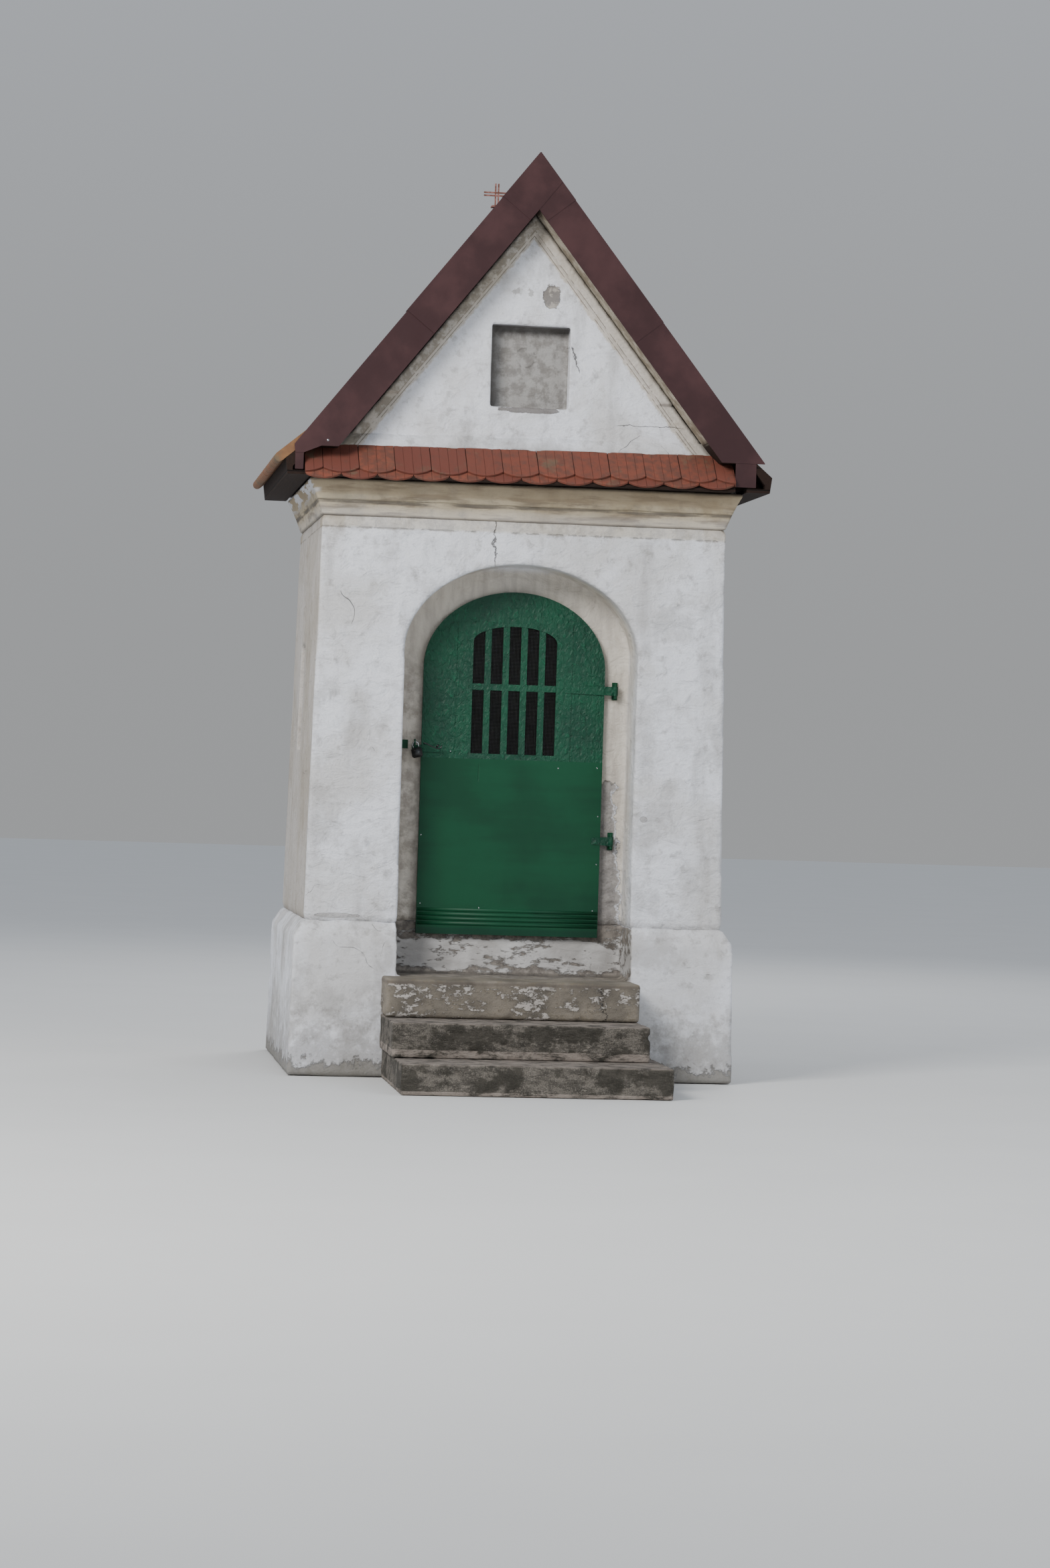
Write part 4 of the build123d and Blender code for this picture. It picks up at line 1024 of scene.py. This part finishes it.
# Door
dress(DAUBED, "door_leaf", "grille_panel", "door_grille", "hinge_straps", "hasp")
dress(SMOOTH, "lower_sheet", "hinge_pintles", "wall_staple")
dress(CLOTH, "door_mesh")
sheet_low, sheet_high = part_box("lower_sheet")
panel_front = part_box("grille_panel")[0].y
door_spots = [(0.239, 1.570), (0.440, 1.577), (0.451, 1.330), (0.451, 1.084), (0.438, 0.846),
              (-0.147, 0.846), (-0.449, 0.863), (-0.455, 1.211), (-0.317, 1.640)]
screws("door_screw_heads", [(x, panel_front, z) for x, z in door_spots], 0.0035, "door")

RIB_RADIUS = 0.009
RIB_FIRST = 0.0545
RIB_PITCH = 0.023
RIBS = 4
RIB_STAND = 0.0045


def pressed_ribs():
    """Rounded beads pressed into the lower sheet near its foot."""
    shape = bmesh.new()
    for rib in range(RIBS):
        z = sheet_low.z + RIB_FIRST + rib * RIB_PITCH
        rod(shape, [(sheet_low.x + 0.003, 0, z), (0, 0, z), (sheet_high.x - 0.003, 0, z)], RIB_RADIUS, sides=14)
    bmesh.ops.scale(shape, verts=shape.verts, vec=(1, RIB_STAND / RIB_RADIUS, 1))
    bmesh.ops.translate(shape, verts=shape.verts, vec=(0, panel_front, 0))
    return mesh_of(shape)


def hook():
    """The thin hook rod that holds the hasp shut beside the padlock."""
    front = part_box("hasp")[0].y - 0.004
    path = [(-0.462, front, 1.676), (-0.445, front, 1.674), (-0.420, front, 1.662), (-0.395, front, 1.652),
            (-0.380, front, 1.651), (-0.370, front, 1.657), (-0.368, front, 1.668)]
    shape = bmesh.new()
    rod(shape, path, radius=0.0032)
    rod(shape, [(-0.392, front, 1.660), (-0.388, front - 0.006, 1.664), (-0.384, front, 1.668)], radius=0.006)
    return mesh_of(shape)


LOCK_TILT = radians(-12)
LOCK_CASE = 0.050  # height of the padlock's case
lock_low, lock_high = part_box("padlock")
lock_centre = (lock_low + lock_high) / 2


def tilted(shape):
    """Hang a shape askew from the padlock's bow."""
    bow = Vector((lock_centre.x, 0, lock_high.z))
    bmesh.ops.rotate(shape, verts=shape.verts, cent=bow, matrix=Matrix.Rotation(LOCK_TILT, 3, "Y"))
    return mesh_of(shape)


def padlock_case():
    """The padlock's case, with softened edges."""
    shape = bmesh.new()
    bmesh.ops.create_cube(shape, size=1.0)
    bmesh.ops.scale(shape, verts=shape.verts, vec=(lock_high.x - lock_low.x, lock_high.y - lock_low.y, LOCK_CASE))
    bmesh.ops.bevel(shape, geom=shape.edges, offset=0.005, segments=3, affect="EDGES")
    bmesh.ops.translate(shape, verts=shape.verts, vec=(*lock_centre.xy, lock_low.z + LOCK_CASE / 2))
    return tilted(shape)


def shackle():
    """The padlock's chromed bow."""
    radius, wire = 0.014, 0.0042
    bow = lock_high.z - wire - radius
    foot = lock_low.z + LOCK_CASE - 0.005
    path = [(-radius, foot)]
    for step in range(13):
        angle = radians(180 - 15 * step)
        path.append((radius * cos(angle), bow + radius * sin(angle)))
    path.append((radius, foot))
    path = [(lock_centre.x + across, lock_centre.y, up) for across, up in path]
    shape = bmesh.new()
    rod(shape, path, wire)
    return tilted(shape)


piece("sheet_ribs", pressed_ribs(), SMOOTH, body="door")
piece("hook_rod", hook(), LOCK, body="door")
piece("padlock_case", padlock_case(), LOCK, body="door", replaced=("padlock",))
piece("padlock_shackle", shackle(), STEEL, body="door")


# Floor, light and camera
HORIZON = (0.50, 0.51, 0.52, 1.0)
ZENITH = (0.80, 0.86, 0.96, 1.0)
SKY_STRENGTH = 0.72
FLOOR_REACH = 60.0


def stage():
    """A pale floor and a little sky, brighter overhead than at the horizon."""
    floor = bmesh.new()
    bmesh.ops.create_grid(floor, x_segments=1, y_segments=1, size=FLOOR_REACH)
    ground = linked("floor", mesh_of(floor))
    ground.location.z = -0.001
    pale = Finish("pale_floor")
    pale.colour = pale.clouds(0.8, 2).mix(paint(206, 206, 204), paint(212, 212, 210))
    ground.data.materials.append(pale.surface(0.9))
    world = bpy.data.worlds.new("soft_sky")
    world.use_nodes = True
    sky = Graph(world.node_tree)
    facing = sky.wire("ShaderNodeSeparateXYZ", (), {0: sky.wire("ShaderNodeTexCoord")}, output="Z")
    colour = facing.fade(0.0, 0.5).mix(HORIZON, ZENITH)
    background = world.node_tree.nodes["Background"]
    sky.tree.links.new(colour.socket, background.inputs["Color"])
    background.inputs["Strength"].default_value = SKY_STRENGTH
    bpy.context.scene.world = world


def soft_light(name, place, target, size, power, colour):
    """A large area light that looks at a target."""
    lamp = bpy.data.lights.new(name, "AREA")
    lamp.shape = "SQUARE"
    lamp.size = size
    lamp.energy = power
    lamp.color = colour
    hung = linked(name, lamp)
    hung.location = place
    hung.rotation_euler = (Vector(target) - Vector(place)).to_track_quat("-Z", "Y").to_euler()


def camera():
    """The photograph's viewpoint."""
    lens = bpy.data.cameras.new("camera")
    lens.lens = LENS
    lens.sensor_width = LONG_SIDE
    lens.clip_end = 200.0
    eye = linked("camera", lens)
    ahead = Vector((sin(CAMERA_YAW), cos(CAMERA_YAW), 0))
    level = Vector((cos(CAMERA_YAW), -sin(CAMERA_YAW), 0))
    upright = Vector((0, 0, 1))
    right = level * cos(CAMERA_ROLL) + upright * sin(CAMERA_ROLL)
    up = upright * cos(CAMERA_ROLL) - level * sin(CAMERA_ROLL)
    eye.matrix_world = set_at(CAMERA_PLACE, right, up, -ahead)
    bpy.context.scene.camera = eye


stage()
soft_light("key", (-7.0, -9.0, 8.0), (0, 0, 2.2), size=4.0, power=1500.0, colour=(1.0, 0.98, 0.95))
soft_light("fill", (8.0, -10.0, 5.0), (0, 0, 2.0), size=6.0, power=300.0, colour=(0.92, 0.96, 1.0))
soft_light("back", (4.0, 9.0, 9.0), (0, 0, 2.5), size=5.0, power=450.0, colour=(1.0, 1.0, 1.0))
camera()
